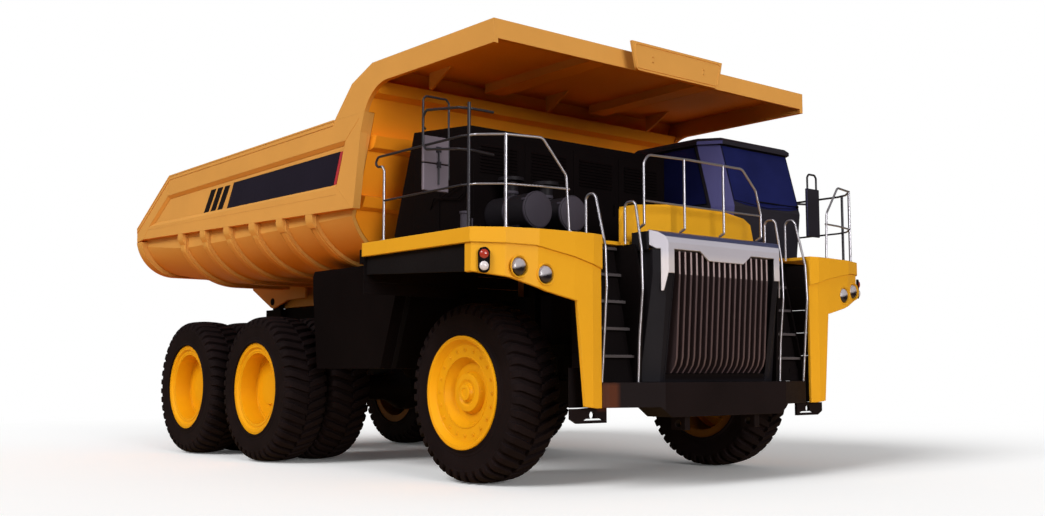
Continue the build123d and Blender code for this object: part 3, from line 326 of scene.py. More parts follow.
class Shape:
    """Vertices and faces gathered from simple forms, in metres in the row frame."""

    def __init__(self):
        self.verts, self.faces = [], []

    def add(self, verts, faces):
        start = len(self.verts)
        self.verts.extend(tuple(v) for v in verts)
        self.faces.extend(tuple(start + i for i in f) for f in faces)

    def rings(self, rings, closed_round=False):
        """Skin over rings of equal length, capped unless it closes on itself."""
        count, total = len(rings[0]), len(rings)
        faces = []
        for i in range(total if closed_round else total - 1):
            a, b = i * count, (i + 1) % total * count
            for k in range(count):
                n = (k + 1) % count
                faces.append((a + k, a + n, b + n, b + k))
        if not closed_round:
            faces.append(tuple(range(count - 1, -1, -1)))
            faces.append(tuple((total - 1) * count + k for k in range(count)))
        self.add([v for ring in rings for v in ring], faces)

    def prism(self, axis, outline, start, end):
        self.rings([flat(axis, at, outline) for at in (start, end)])

    def box(self, low, high):
        (x0, y0, z0), (x1, y1, z1) = low, high
        self.prism(2, [(x0, y0), (x1, y0), (x1, y1), (x0, y1)], z0, z1)

    def lathe(self, profile, centre, count=48, axes=(LEFT, REAR, UP)):
        """Turned form; the profile is (along, radius) round the first axis."""
        along, u, v = axes
        outs = circle((0, 0, 0), u, v, 1, count)
        self.rings([[Vector(centre) + along * a + out * r for a, r in profile] for out in outs], True)

    def pipe(self, points, radius, bend=0.05, sides=12):
        """Round bar along a line of points, with its corners bent to a radius."""
        path = bent_path([Vector(p) for p in points], bend)
        rings = []
        normal = (path[1] - path[0]).normalized().orthogonal()
        for before, point, after in zip(path[:1] + path, path, path[1:] + path[-1:]):
            tangent = (after - before).normalized()
            normal = (normal - tangent * normal.dot(tangent)).normalized()
            rings.append(circle(point, normal, tangent.cross(normal), radius, sides))
        self.rings(rings)

    def post(self, x, y, low, high, radius, sides=12):
        self.pipe([(x, y, low), (x, y, high)], radius, 0, sides)

    def nut(self, centre, along, radius=0.022, height=0.024, washer=True):
        """Hex nut with a chamfered top, on a round washer if it has one."""
        along = Vector(along).normalized()
        u = along.orthogonal().normalized()
        v = along.cross(u)
        centre = Vector(centre)
        if washer:
            self.rings([circle(centre + along * h, u, v, radius * 1.35, 16) for h in (-0.002, 0.004)])
        self.rings([circle(centre + along * h, u, v, r, 6) for h, r in
                ((-0.002, radius), (height * 0.8, radius), (height, radius * 0.82))])

    def both(self):
        """Adds the mirror image about the truck's middle plane."""
        self.add([(-x, y, z) for x, y, z in self.verts], [tuple(reversed(f)) for f in self.faces])
        return self


def add_object(name, data):
    made = bpy.data.objects.new(name, data)
    bpy.context.scene.collection.objects.link(made)
    return made


def piece(name, shape, material, body="chassis", replaces=None, smooth=32, bevel=0):
    """Turns a shape into an object in one material that rides on a body."""
    mesh = bpy.data.meshes.new(name)
    mesh.from_pydata(shape.verts, [], shape.faces)
    mesh.materials.append(materials[material])
    work = bmesh.new()
    work.from_mesh(mesh)
    bmesh.ops.recalc_face_normals(work, faces=work.faces)
    work.to_mesh(mesh)
    work.free()
    mesh.shade_smooth()
    mesh.set_sharp_from_angle(angle=radians(smooth))
    made = add_object(name, mesh)
    if bevel:
        rounding = made.modifiers.new("rounded", "BEVEL")
        rounding.width = bevel
        rounding.segments = 2
        rounding.limit_method = "ANGLE"
        rounding.angle_limit = radians(40)
        rounding.harden_normals = True
    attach(made, body)
    if replaces:
        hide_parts(replaces)


# ---- tyres and wheels ----
LUG_COUNT = 42
LUG_PITCH = 2 * pi / LUG_COUNT
LUG_STATIONS = (
    # x, top radius, base radius, half width in pitches, sweep in pitches
    (0.006, 1.0245, 0.975, 0.2, 0.62), (0.055, 1.024, 0.975, 0.25, 0.5),
    (0.12, 1.0195, 0.965, 0.28, 0.34), (0.19, 1.0125, 0.955, 0.29, 0.17),
    (0.245, 1.0035, 0.94, 0.285, 0.04), (0.276, 0.99, 0.925, 0.28, 0),
    (0.298, 0.97, 0.905, 0.27, 0), (0.3125, 0.94, 0.885, 0.25, 0),
    (0.3155, 0.905, 0.87, 0.22, 0), (0.316, 0.875, 0.862, 0.18, 0),
)
HALF_TYRE = [
    # x, radius: bead, sidewall ribs, shoulder, crown
    (0.278, 0.594), (0.279, 0.643), (0.318, 0.6445), (0.3245, 0.652), (0.3235, 0.664),
    (0.312, 0.677), (0.3065, 0.688), (0.3085, 0.712), (0.303, 0.72), (0.3075, 0.745),
    (0.3115, 0.785), (0.3145, 0.84), (0.3125, 0.88),
    (0.3155, 0.884), (0.311, 0.892), (0.3, 0.902), (0.288, 0.922), (0.27, 0.938),
    (0.24, 0.95), (0.18, 0.962), (0.09, 0.972), (0, 0.976),
]


def lug(shape, centre, angle, side):
    """One tread block, swept from the middle to the shoulder and down the side."""
    cx, cy, cz = centre
    rings = []
    for x, top, base, half, sweep in LUG_STATIONS:
        rings.append([])
        for share, r in ((-1.12, base), (-1, top - 0.006), (-0.88, top), (0.88, top),
                (1, top - 0.006), (1.12, base)):
            turn = angle + (share * half + sweep) * LUG_PITCH
            rings[-1].append((cx + side * x, cy + r * cos(turn), cz + r * sin(turn)))
    shape.rings(rings)


def tyre(shape, centre):
    shape.lathe(HALF_TYRE + [(-x, r) for x, r in HALF_TYRE[-2::-1]], centre, 96)
    for k in range(LUG_COUNT):
        lug(shape, centre, k * LUG_PITCH, 1)
        lug(shape, centre, (k + 0.5) * LUG_PITCH, -1)


STUD = [(-0.002, 0.026), (0.004, 0.026), (0.006, 0.021), (0.003, 0.016), (0.003, 0.011),
        (0.012, 0.01), (0.013, 0.002), (-0.002, 0.002)]
FRONT_RIM_RINGS = (
    [(0.334, 0.636), (0.342, 0.634), (0.345, 0.626), (0.342, 0.616), (0.334, 0.611)],
    [(0.268, 0.56), (0.276, 0.557), (0.279, 0.548), (0.274, 0.541), (0.268, 0.541)],
    [(0.266, 0.408), (0.275, 0.405), (0.277, 0.398), (0.266, 0.394)],
    [(0.232, 0.222), (0.243, 0.214), (0.25, 0.185), (0.25, 0.15), (0.232, 0.12)],
    [(0.272, 0.094), (0.281, 0.09), (0.284, 0.08), (0.283, 0.05), (0.272, 0.046)],
)
REAR_RIM_RINGS = [[(along - 0.002, radius - 0.007), (along + 0.006, radius - 0.005),
        (along + 0.006, radius + 0.005), (along - 0.002, radius + 0.007)]
        for along, radius in ((0.29, 0.612), (0.262, 0.528), (0.0215, 0.452))]


def rim_rings(shape, profiles, centre, sign):
    for profile in profiles:
        shape.lathe([(sign * along, r) for along, r in profile], centre, 96)


def build_wheels():
    for side, sign in SIDES:
        body = f"front_wheel_{side}"
        tread, studs = Shape(), Shape()
        centre = (sign * FRONT_TYRE_X, FRONT_AXLE_Y, AXLE_Z)
        tyre(tread, centre)
        piece(f"front_tyre_treaded_{side}", tread, "tyre", body=body, replaces=f"front_tyre_{side}",
                smooth=28)
        face = (sign * (FRONT_TYRE_X + 0.27), FRONT_AXLE_Y, AXLE_Z)
        for spot in circle(face, REAR, UP, 0.487, 20):
            studs.lathe(STUD, spot, 18, frame_of((sign, 0, 0)))
        rim_rings(studs, FRONT_RIM_RINGS, centre, sign)
        piece(f"front_wheel_studs_{side}", studs, "wheel_yellow", body=body, smooth=30)
        for number, axle_y in enumerate(REAR_AXLE_YS, 1):
            end = f"{number}_{side}"
            body = f"rear_wheel_{end}"
            tread, rings = Shape(), Shape()
            for x in REAR_TYRE_XS:
                tyre(tread, (sign * x, axle_y, AXLE_Z))
            piece(f"rear_tyres_treaded_{end}", tread, "tyre", body=body, replaces=f"rear_tyres_{end}",
                    smooth=28)
            rim_rings(rings, REAR_RIM_RINGS, (sign * REAR_TYRE_XS[1], axle_y, AXLE_Z), sign)
            piece(f"rear_wheel_rings_{end}", rings, "wheel_yellow", body=body, smooth=30)


# ---- rails ----
RAIL_X = 3.25
RAIL_TOP, RAIL_MIDDLE = 3.657, 3.15
POST_TOP = 3.667
REAR_POST, CORNER_POST, FRONT_POST, FOOT = (RAIL_X, -3.14), (3.214, -4.643), (2.96, -4.926), (2.225, -5.066)
FRONT_RUN = [CORNER_POST, (3.19, -4.72), (2.96, -4.93), (2.56, -5.03)]


def build_guardrails():
    """Deck rails with posts, base plates and hooked rear ends, and the hoop in the middle."""
    shape, side = Shape(), Shape()
    top = flat(2, RAIL_TOP, FRONT_RUN)
    shape.pipe(top + [(2.26, -5.062, 3.29), (*FOOT, 2.704)], 0.014, 0.09)
    shape.pipe(flat(2, RAIL_MIDDLE, [*FRONT_RUN, FOOT]), 0.012, 0.09)
    shape.post(*FRONT_POST, DECK_TOP, POST_TOP, 0.018)
    hook = [(-3.14, DECK_TOP), (-3.14, 3.49), (-3.1, 3.54), (-3.085, 3.541)]
    shape.pipe(flat(0, RAIL_X, hook), 0.014, 0.05)
    for spot in (REAR_POST, CORNER_POST, FRONT_POST, FOOT):
        shape.lathe([(0, 0.004), (0, 0.042), (0.008, 0.042), (0.012, 0.024), (0.012, 0.004)],
                (*spot, DECK_TOP), 20, UPRIGHT)
    shape.both()
    y, low, high = -5.056, 2.88, 3.68
    ends, posts = (-1.1, 0.925), (-0.44, 0.24)
    shape.pipe(flat(1, y, [(ends[0], low), (ends[0], 3.56), (-1.03, 3.66), (-0.35, high), (0.59, high),
            (0.84, 3.44), (ends[1], 3.17), (ends[1], low)]), 0.014, 0.12)
    shape.pipe(flat(1, y, [(x, 3.14) for x in ends]), 0.011)
    for x in posts:
        shape.post(x, y, low, high, 0.015)
    for x in sorted(ends + posts):
        shape.pipe(flat(0, x, [(y, 2.9), (y, 2.875), (y + 0.075, 2.843)]), 0.015, 0.02)
        shape.nut((x, y + 0.035, 2.87), UP, 0.01, 0.01, False)
    piece("guardrails_bent", shape, "rail_silver", replaces="guardrails")
    bend = (RAIL_X, -4.56)
    hook = flat(0, RAIL_X, [(-3.09, 3.54), (-3.01, 3.545), (-2.96, 3.592), (-3.01, RAIL_TOP)])
    side.pipe(hook + flat(2, RAIL_TOP, [bend, CORNER_POST]), 0.014, 0.06)
    side.pipe(flat(2, RAIL_MIDDLE, [REAR_POST, bend, CORNER_POST]), 0.012, 0.06)
    side.post(*CORNER_POST, DECK_TOP, POST_TOP, 0.018)
    piece("guardrails_side", side.both(), "dark_rail")


def build_grab_rails():
    shape = Shape()
    low = 1.15
    outer = [(-4.8, 2.662), (-4.8, 3.13), (-4.84, 3.172), (-4.915, 3.172), (-4.955, 3.13),
            (-5.095, 2.59), (-5.112, 2.16), (-5.03, low)]
    inner = [(-4.88, 2.662), (-4.88, 3.085), (-4.915, 3.124), (-5.01, 3.124), (-5.045, 3.09),
            (-5.128, 2.6), (-5.14, 2.15), (-5.085, 1.62), (-5.062, low)]
    for x, line in ((1.736, outer), (1.222, inner)):
        shape.pipe(flat(0, x, line), 0.015, 0.06)
    piece("grab_rails_bent", shape.both(), "rail_silver", replaces="grab_rails")


# ---- mirrors ----
def build_mirrors():
    x = -3.287
    hoops = Shape()
    hoops.pipe([(-2.935, -4.69, 3.925), (-3.2, -4.655, 3.935), *flat(0, x,
            [(-4.56, 3.95), (-3.99, 4.02), (-3.935, 3.96), (-3.935, 3.66), (-3.99, 3.598), (-4.56, 3.52)]),
            (-3.2, -4.655, 3.505), (-2.88, -4.625, 3.495)], 0.014, 0.06)
    hoops.pipe(flat(1, -3.86, [(-3.235, 3.33), (-3.235, 4.17), (-3.2, 4.21), (-2.93, 4.21),
            (-2.895, 4.17), (-2.895, 3.33)]), 0.012, 0.03)
    for z in (3.85, 3.7):
        hoops.pipe([(x, -3.935, z), (-3.205, -3.86, z)], 0.01)
    hoops.post(-CORNER_POST[0], CORNER_POST[1], 3.66, 4, 0.018)
    hoops.post(-3.07, -3.925, 3.25, 3.6, 0.011)
    hoops.box((-3.09, -3.94, 3.43), (-3.05, -3.908, 3.5))
    hoops.box((-3.1, -3.93, 3.6), (-3.04, -3.908, 3.66))
    piece("right_mirror_hoops", hoops, "dark_rail", replaces="mirrors")
    shells, faces = Shape(), Shape()
    for low, high in ((3.18, 3.47), (3.484, 3.772)):
        shells.box((-3.262, -3.912, low), (-2.93, -3.874, high))
    for low, high in ((3.192, 3.46), (3.494, 3.762)):
        faces.box((-3.252, -3.876, low), (-2.94, -3.8705, high))
    piece("right_mirror_shells", shells, "mirror_grey", bevel=0.008)
    faces.box((2.915, -4.266, 3.125), (3.165, -4.2615, 3.765))
    piece("mirror_faces", faces, "mirror_glass", bevel=0.004)
    left, back = Shape(), Shape()
    left.pipe(flat(1, -4.28, [(2.94, 3.18), (2.94, 3.94), (2.975, 3.98), (3.105, 3.98), (3.14, 3.94),
            (3.14, 3.18)]), 0.014, 0.03)
    left.pipe(flat(2, 3.557, [(2.709, -4.155), (2.79, -4.2), (2.945, -4.28)]), 0.014, 0.05)
    left.box((2.701, -4.19, 3.51), (2.713, -4.11, 3.6))
    for y in (-4.178, -4.122):
        for z in (3.522, 3.588):
            left.nut((2.712, y, z), LEFT, 0.006, 0.006, False)
    piece("left_mirror_arm", left, "dark_rail")
    back.box((2.9, -4.302, 3.11), (3.18, -4.266, 3.78))
    piece("left_mirror_shell", back, "cab_black", bevel=0.01)


# ---- front end ----
BAY_Y, BAY_LOW, BAY_BEND, BAY_TOP = -5.194, 1.242, 2.33, 2.595
MESH_STEP = 0.026


def bay_y(z):
    """Front of the slat bay: upright over the bend, drawn forward under it."""
    return BAY_Y + max(0, BAY_BEND - z) * (0.152 / 1.092)


def build_grille():
    slats, mesh, trim = Shape(), Shape(), Shape()
    outline = [(BAY_Y, 2.585), (-5.264, 2.585), (-5.266, BAY_BEND), (-5.206, 1.42), (-5.18, 1.33),
            (-5.112, BAY_LOW), (-5.043, BAY_LOW), (BAY_Y, BAY_BEND)]
    for i in range(17):
        x = -0.76 + i * 0.095
        slats.prism(0, outline, x - 0.014, x + 0.014)
    piece("grille_slats_rounded", slats, "slat_satin", replaces="grille_slats", bevel=0.006)
    for i in range(int(1.72 / MESH_STEP) + 1):
        line = [(bay_y(1.245) - 0.003, 1.245), (BAY_Y - 0.003, BAY_BEND), (BAY_Y - 0.003, BAY_TOP)]
        mesh.pipe(flat(0, -0.86 + i * MESH_STEP, line), 0.0035, 0, 4)
    z = 1.25
    while z < BAY_TOP:
        mesh.pipe([(x, bay_y(z) - 0.005, z) for x in (-0.866, 0.866)], 0.0035, 0, 4)
        z += MESH_STEP
    piece("grille_mesh", mesh, "dark_rail")
    for x in (0.868, -0.868):
        trim.pipe([(x, -5.104, 1.16), (x, -5.27, BAY_BEND)], 0.007, 0, 8)
    piece("grille_edges", trim, "housing_grey")


def lamp(socket, dome, spot, radius):
    """Round lamp: a painted conical socket round a domed lens."""
    axes = frame_of((0, -1, 0))
    socket.lathe([(-0.006, radius * 1.16), (0.006, radius * 1.14), (0.01, radius * 1.07),
            (-0.004, radius * 0.97), (-0.03, radius * 0.88), (-0.04, radius * 0.88)], spot, 48, axes)
    dome.lathe([(-0.06, 0.002), (-0.03, radius * 0.9), (-0.004, radius * 0.84), (0.004, radius * 0.74),
            (0.012, radius * 0.5), (0.016, radius * 0.24), (0.017, 0.002)], spot, 48, axes)


def corner_lamps():
    """Red lamp over a white one in a long rounded housing."""
    centre = Vector((3.182, -4.855, 2.367))
    along, side, up = axes = frame_of((0.577, -0.817, 0))
    housing = Shape()
    ring = [spot + up * (0.062 if spot.z > -1e-9 else -0.062)
            for spot in circle((0, 0, 0), side, up, 0.054, 24)]
    housing.rings([[centre + along * a + spot * s for spot in ring] for a, s in
            ((0, 1.12), (0.028, 1.12), (0.034, 1.05), (0.034, 0.94), (0.026, 0.9))])
    piece("corner_lamp_housings", housing.both(), "seal_black")
    for colour, rise in (("red", 0.06), ("white", -0.06)):
        lens = Shape()
        lens.lathe([(0.02, 0.002), (0.02, 0.047), (0.034, 0.046), (0.044, 0.037), (0.05, 0.02),
                (0.052, 0.002)], centre + up * rise, 28, axes)
        piece(f"corner_lamps_{colour}", lens.both(), f"lens_{colour}")


def build_lamps():
    socket, dome = Shape(), Shape()
    for spot in ((2.86, -5.026, 2.307), (2.563, -5.088, 2.241)):
        lamp(socket, dome, spot, 0.102)
    piece("headlamp_sockets", socket.both(), "deck_yellow")
    piece("headlamp_domes", dome.both(), "lamp_dome", replaces="headlamps", smooth=60)
    corner_lamps()


def build_ladders():
    shape = Shape()
    for number in range(5):
        z = 2.632 - 0.299 * number
        front = -4.712 - 0.212 * (2.655 - z)
        shape.box((1.195, front - 0.006, z - 0.026), (1.756, front + 0.01, z + 0.003))
        for k in range(9):
            x = 1.225 + k * 0.0625
            shape.box((x, front - 0.0075, z), (x + 0.03, front + 0.05, z + 0.006))
    piece("ladder_treads", shape.both(), "step_grey", bevel=0.002)


def tread_mark(shape, x, y, turn):
    """One raised diamond of the chequer plate."""
    long = Vector((cos(turn), sin(turn))) * 0.024
    wide = Vector((-sin(turn), cos(turn))) * 0.005
    base = (-long - wide, long - wide, long + wide, -long + wide)
    shape.rings([[(x + p.x * scale, y + p.y * scale, DECK_TOP + height) for p in base]
            for scale, height in ((1, 0.003), (0.6, 0.0055))])


def build_deck():
    shape = Shape()
    plate = [(3.22, -2.83), (3.22, -4.76), (2.97, -4.93), (2.64, -5.03), (2.2, -5.075), (1.86, -5.06),
            (1.86, -4.7), (1.12, -4.7), (1.12, -4.8), (0.02, -4.8), (0.02, -2.83)]
    shape.prism(2, plate, DECK_TOP, DECK_TOP + 0.003)
    pattern = 0.085
    y, row = -4.98, 0
    while y < -2.88:
        x = 1.94 + (row % 2) * pattern / 2
        while x < 3.18:
            if y > -5 + max(0, x - 2.55) * 0.42:
                tread_mark(shape, x, y, 0.7 if (row + int(x / pattern)) % 2 else -0.7)
            x += pattern
        y += pattern / 2
        row += 1
    piece("deck_tread_plates", shape.both(), "tread_plate")


# ---- cab ----
WIPER_Z = 3.46
GLASS_TOP, GLASS_LOW = 4.165, 3.4
QUARTER_PANE = [(-4.15, GLASS_LOW), (-3.76, GLASS_LOW), (-3.76, GLASS_TOP), (-3.955, GLASS_TOP)]
SIDE_PANE = [(-4.15, GLASS_LOW), (-3.02, GLASS_LOW), (-3.02, GLASS_TOP), (-3.955, GLASS_TOP)]
DOOR_PANE = [(-3.7, 3.345), (-3.13, 3.345), (-3.13, 4.07), (-3.7, 4.07)]


def screen_y(z):
    """Outer face of the sloping windscreen."""
    return -4.45 + (z - 3.36) * (0.22 / 0.82)


def build_cab_glass():
    shape, door = Shape(), Shape()
    screen = [(1.178, 3.43), (1.4, 3.39), (1.85, 3.372), (2.3, 3.39), (2.522, 3.43), (2.522, 4.176),
            (1.178, 4.176)]
    shape.rings([[(x, screen_y(z) - out, z) for x, z in screen] for out in (0.001, 0.006)])
    shape.prism(0, SIDE_PANE, 0.993, 0.999)
    shape.prism(0, QUARTER_PANE, 2.701, 2.707)
    shape.box((1.28, -2.919, 3.43), (2.42, -2.913, 4.02))
    piece("cab_panes", shape, "cab_glass", replaces="cab_glass", bevel=0.002)
    door.prism(0, DOOR_PANE, 2.6995, 2.7045)
    piece("cab_door_pane", door, "cab_glass", body="cab_door", replaces="cab_door_glass", bevel=0.002)


def build_cab_trim():
    seals, door, controls = Shape(), Shape(), Shape()
    screen = [(1.186, 3.438), (1.85, 3.382), (2.514, 3.438), (2.514, 4.17), (1.186, 4.17)]
    seals.pipe([(x, screen_y(z) - 0.005, z) for x, z in closed(screen)], 0.006, 0.02, 6)
    for x, pane in ((0.994, SIDE_PANE), (2.706, QUARTER_PANE)):
        seals.pipe(closed(flat(0, x, pane)), 0.006, 0.02, 6)
    foot = screen_y(WIPER_Z)
    seals.pipe(flat(1, foot - 0.02, [(2.48, WIPER_Z), (2, 3.455)]), 0.006, 0, 6)
    seals.box((1.62, foot - 0.03, 3.448), (2.08, foot - 0.006, 3.462))
    seals.lathe([(0, 0.002), (0, 0.022), (0.03, 0.018), (0.03, 0.002)], (2.48, foot - 0.002, WIPER_Z),
            16, frame_of((0, -1, 0)))
    piece("cab_seals_and_wiper", seals, "seal_black")
    door.pipe(closed(flat(0, 2.706, DOOR_PANE)), 0.005, 0.02, 6)
    door.pipe([(2.7, -3.18, 3.225), (2.732, -3.18, 3.235), (2.732, -3.13, 3.235),
            (2.7, -3.13, 3.225)], 0.007, 0.01, 8)
    for z in (2.83, 4.085):
        door.pipe([(2.702, -3.72, z), (2.702, -3.11, z)], 0.004, 0, 6)
    for z in (3.025, 3.085, 3.885, 3.945):
        door.nut((2.716, -3.66, z), LEFT, 0.007, 0.006, False)
    piece("cab_door_trim", door, "seal_black", "cab_door")
    controls.box((1.75, -4.16, 3.335), (1.87, -4.1, 3.42))
    controls.box((1.3, -4.18, 3.345), (1.62, -4.12, 3.44))
    controls.pipe(flat(0, 2.14, [(-3.42, 2.78), (-3.44, 3.02)]), 0.018, 0, 10)
    controls.lathe([(0, 0.002), (0, 0.026), (0.03, 0.034), (0.06, 0.022), (0.066, 0.002)],
            (2.14, -3.44, 3.02), 16, UPRIGHT)
    for x0, x1 in ((1.45, 1.54), (2.08, 2.12)):
        controls.box((x0, -3.62, 2.8), (x1, -3.22, 3.16))
    piece("cab_controls", controls, "inner_trim", bevel=0.008)


# ---- deck's cabinet, air cleaners and splash panels ----
def build_cabinet():
    shape, pipe = Shape(), Shape()
    face, side = -3.471, -2.301
    for x0, x1 in ((-2.26, -1.52), (-1.48, -0.74), (-0.7, 0.04), (0.08, 0.86)):
        shape.box((x0, face - 0.008, 2.74), (x1, face, 3.98))
        for k in range(9):
            z = 3.56 + k * 0.038
            louvre = [(face - 0.006, z), (face - 0.028, z - 0.012), (face - 0.006, z + 0.022)]
            shape.prism(0, louvre, x0 + 0.09, x1 - 0.09)
        shape.pipe(flat(0, x1 - 0.06, [(face - 0.008, 3.22), (face - 0.04, 3.24), (face - 0.04, 3.34),
                (face - 0.008, 3.36)]), 0.007, 0.02, 8)
    for y0, y1, top in ((-3.43, -2.93, 4.03), (-2.88, -2.36, 4.07)):
        shape.box((side - 0.008, y0, 2.76), (side, y1, top))
    shape.pipe([(-2.312, -2.7, 3.18), *flat(0, -2.345, [(-2.83, 3.3), (-3.3, 3.245), (-3.4, 3.29),
            (-3.42, 3.43)])], 0.009, 0.05, 8)
    shape.pipe(flat(0, -2.345, [(-2.96, 3.29), (-3.36, 3.41)]), 0.008, 0, 8)
    piece("cabinet_panels", shape, "cabinet_black", bevel=0.003)
    pipe.lathe([(0, 0.002), (0, 0.052), (0.25, 0.052), (0.262, 0.062), (0.285, 0.062),
            (0.285, 0.046), (0.22, 0.04), (0.22, 0.002)], (-2.75, -3.97, DECK_TOP), 24, UPRIGHT)
    pipe.post(-2.6, -3.9, 2.7, 2.93, 0.01, 8)
    piece("deck_stub_pipe", pipe, "cleaner_grey")


def build_air_cleaners():
    shape = Shape()
    axes = (-REAR, LEFT, UP)
    lid = [(0, 0.002), (0, 0.196), (0.006, 0.196), (0.01, 0.188), (0.01, 0.002)]
    clamp = [(-0.035, 0.199), (-0.03, 0.209), (-0.008, 0.209), (-0.002, 0.199)]
    band = [(-0.4, 0.199), (-0.398, 0.205), (-0.36, 0.205), (-0.358, 0.199)]
    collar = [(0, 0.082), (0.012, 0.086), (0.03, 0.086), (0.042, 0.082)]
    for x in (-1.9, -1.37):
        for profile in (lid, clamp, band):
            shape.lathe(profile, (x, -4.2, 3.06), 64, axes)
        for latch in circle((x, 0, 3.06), LEFT, UP, 0.209, 3, 0.5):
            shape.box((latch.x - 0.012, -4.19, latch.z - 0.012), (latch.x + 0.012, -4.13, latch.z + 0.012))
        shape.lathe(collar, (x, -3.72, 3.28), 32, UPRIGHT)
    piece("air_cleaner_lids", shape, "cleaner_grey")


def build_splash_panels():
    """Thin panels behind the front wheels and beside the ladders."""
    shape = Shape()
    for k in range(3):
        shape.box((1.02, -2.79, 2.13 + 0.14 * k), (3.28, -2.784, 2.266 + 0.14 * k))
    for k in range(5):
        low, high = 1.18 + 0.284 * k, 1.46 + 0.284 * k
        shape.box((1.145, -4.675, low), (1.825, -4.669, high))
        shape.box((1.826, -5.055 if k < 1 else -5.075, low), (1.834, -4.669, high))
    for x0, x1 in ((1.6, 1.85), (1.852, 2.12)):
        shape.box((x0, -4.935, 0.885), (x1, -4.925, 1.3))
    piece("splash_panels", shape.both(), "frame_black")


# ---- dump body ----
RECESS = [(-1.403, 4.169), (4.06, 4.098), (4.817, 3.657), (-1.196, 3.592)]
PANEL_X = BODY_X - 0.04


def bowl_curve(half, floor, wall_x, foot, count=20):
    """Half of the bowl's outside: level floor, tangent arc. Gives ((x, z), outward normal)."""
    wide, high = wall_x - half, foot - floor
    radius = (wide * wide + high * high) / (2 * high)
    start, end = -pi / 2, atan2(high - radius, wide)
    curve = [((0.9, floor), (0, -1))]
    for k in range(count + 1):
        turn = start + (end - start) * k / count
        out = (cos(turn), sin(turn))
        curve.append(((half + radius * out[0], floor + radius + radius * out[1]), out))
    return curve


def hoop_bands(shape):
    """Raised band on each hoop, its welds, and the tab up to the side frame."""
    for i in range(6):
        y = -0.5 + 0.81 * i
        top = 3.286 + (y + 1.602) * (0.185 / 6.6)  # the side frame's lower edge
        curve = bowl_curve(1.705, 2.635, 2.64, 3.19) + [((2.64, top - 0.004), (1, 0))]
        shape.rings([[(x + ox * lift, y + shift, z + oz * lift) for shift, lift in
                ((-0.062, -0.004), (-0.05, 0.012), (0.05, 0.012), (0.062, -0.004))]
                for (x, z), (ox, oz) in curve])
        for edge in (-0.088, 0.088):
            shape.pipe([(x, y + edge, z) for (x, z), _ in curve], 0.007, 0, 5)
        tab = [(BODY_X - 0.001, top + 0.03), (BODY_X - 0.001, top - 0.06), (2.69, top - 0.115),
               (2.646, top - 0.18), (2.63, top - 0.18), (2.63, top)]
        shape.prism(1, tab, y - 0.085, y + 0.085)
    for y in (5.085, 5.15):
        shape.pipe([(x - ox * 0.002, y, z - oz * 0.002)
                for (x, z), (ox, oz) in bowl_curve(2.05, 2.87, 2.704, 3.42)], 0.007, 0, 5)


def inset_quad(quad, amount):
    """Quad in (y, z) moved inwards by an amount on every side."""
    result = []
    for i in range(4):
        before, corner, after = (Vector(quad[k % 4]) for k in (i - 1, i, i + 1))
        back, ahead = (before - corner).normalized(), (after - corner).normalized()
        result.append(corner + (back + ahead) * amount / abs(back.cross(ahead)))
    return result


def side_panel(shape):
    """Sloped returns round the long recess, the raised rim and the mitre welds."""
    inner = inset_quad(RECESS, 0.055)
    face, back = BODY_X - 0.0005, BODY_X - 0.0395
    for i in range(4):
        n = (i + 1) % 4
        shape.rings([[(face, *RECESS[k]), (back, *inner[k]), (back - 0.001, *RECESS[k])] for k in (i, n)])
    rim = (((-1.1, 4.465), (-1.1, 4.405)), ((4.01, 4.41), (3.995, 4.35)), ((5.286, 3.66), (5.286, 3.592)))
    shape.rings([[(BODY_X - 0.002, *top), (BODY_X + 0.007, *top), (BODY_X + 0.007, *low),
            (BODY_X - 0.002, *low)] for top, low in rim])
    cap = [(-1.12, 4.467), (4.008, 4.412), (5.28, 3.664)]
    shape.rings([[(2.575, y, z - 0.002), (2.575, y, z + 0.01), (BODY_X + 0.012, y, z + 0.01),
            (BODY_X + 0.012, y, z - 0.012)] for y, z in cap])
    for mitre in (((-1.196, 3.592), (-1.59, 3.292)), ((4.817, 3.657), (5, 3.474)),
            ((-1.403, 4.169), (-1.72, 4.4)), ((4.06, 4.098), (4.01, 4.35))):
        shape.pipe(flat(0, BODY_X, mitre), 0.0035, 0, 6)
    shape.pipe(flat(0, BODY_X, [(-1.19, 3.5), (4.86, 3.615)]), 0.002, 0, 4)


def sign_frame(shape):
    """Edge of the long dark panel, with nuts along its top and bottom."""
    loop = [(1.972, 3.651), (1.75, 4.026), (-1.234, 4.05), (-1.066, 3.612)]
    shape.pipe(closed(flat(0, PANEL_X + 0.01, loop)), 0.004, 0, 6)
    for k in range(9):
        for start, end in (((-1.1, 3.632), (1.93, 3.668)), ((-1.2, 4.03), (1.75, 4.008))):
            spot = Vector(start).lerp(Vector(end), (k + 0.3) / 9)
            shape.nut((PANEL_X + 0.009, *spot), LEFT, 0.007, 0.005, False)


def build_body():
    bands, returns, stripes, red, edges = (Shape() for _ in range(5))
    hoop_bands(bands)
    piece("bed_hoop_bands", bands.both(), "body_yellow", body="bed", smooth=40)
    side_panel(returns)
    piece("bed_side_returns", returns.both(), "body_yellow", body="bed")
    for k in range(3):
        y = 2.794 - 0.236 * k
        outline = [(y, 3.659), (y - 0.268, 4.012), (y - 0.433, 4.012), (y - 0.165, 3.659)]
        stripes.prism(0, outline, PANEL_X, PANEL_X + 0.004)
    piece("bed_stripes", stripes.both(), "stripe_black", "bed")
    red.prism(0, [(-1.066, 3.612), (-1.234, 4.05), (-1.296, 4.05), (-1.128, 3.612)], PANEL_X,
            PANEL_X + 0.008)
    piece("bed_end_strips", red.both(), "strip_red", "bed")
    sign_frame(edges)
    piece("sign_panel_edges", edges.both(), "sign_dark", body="bed")


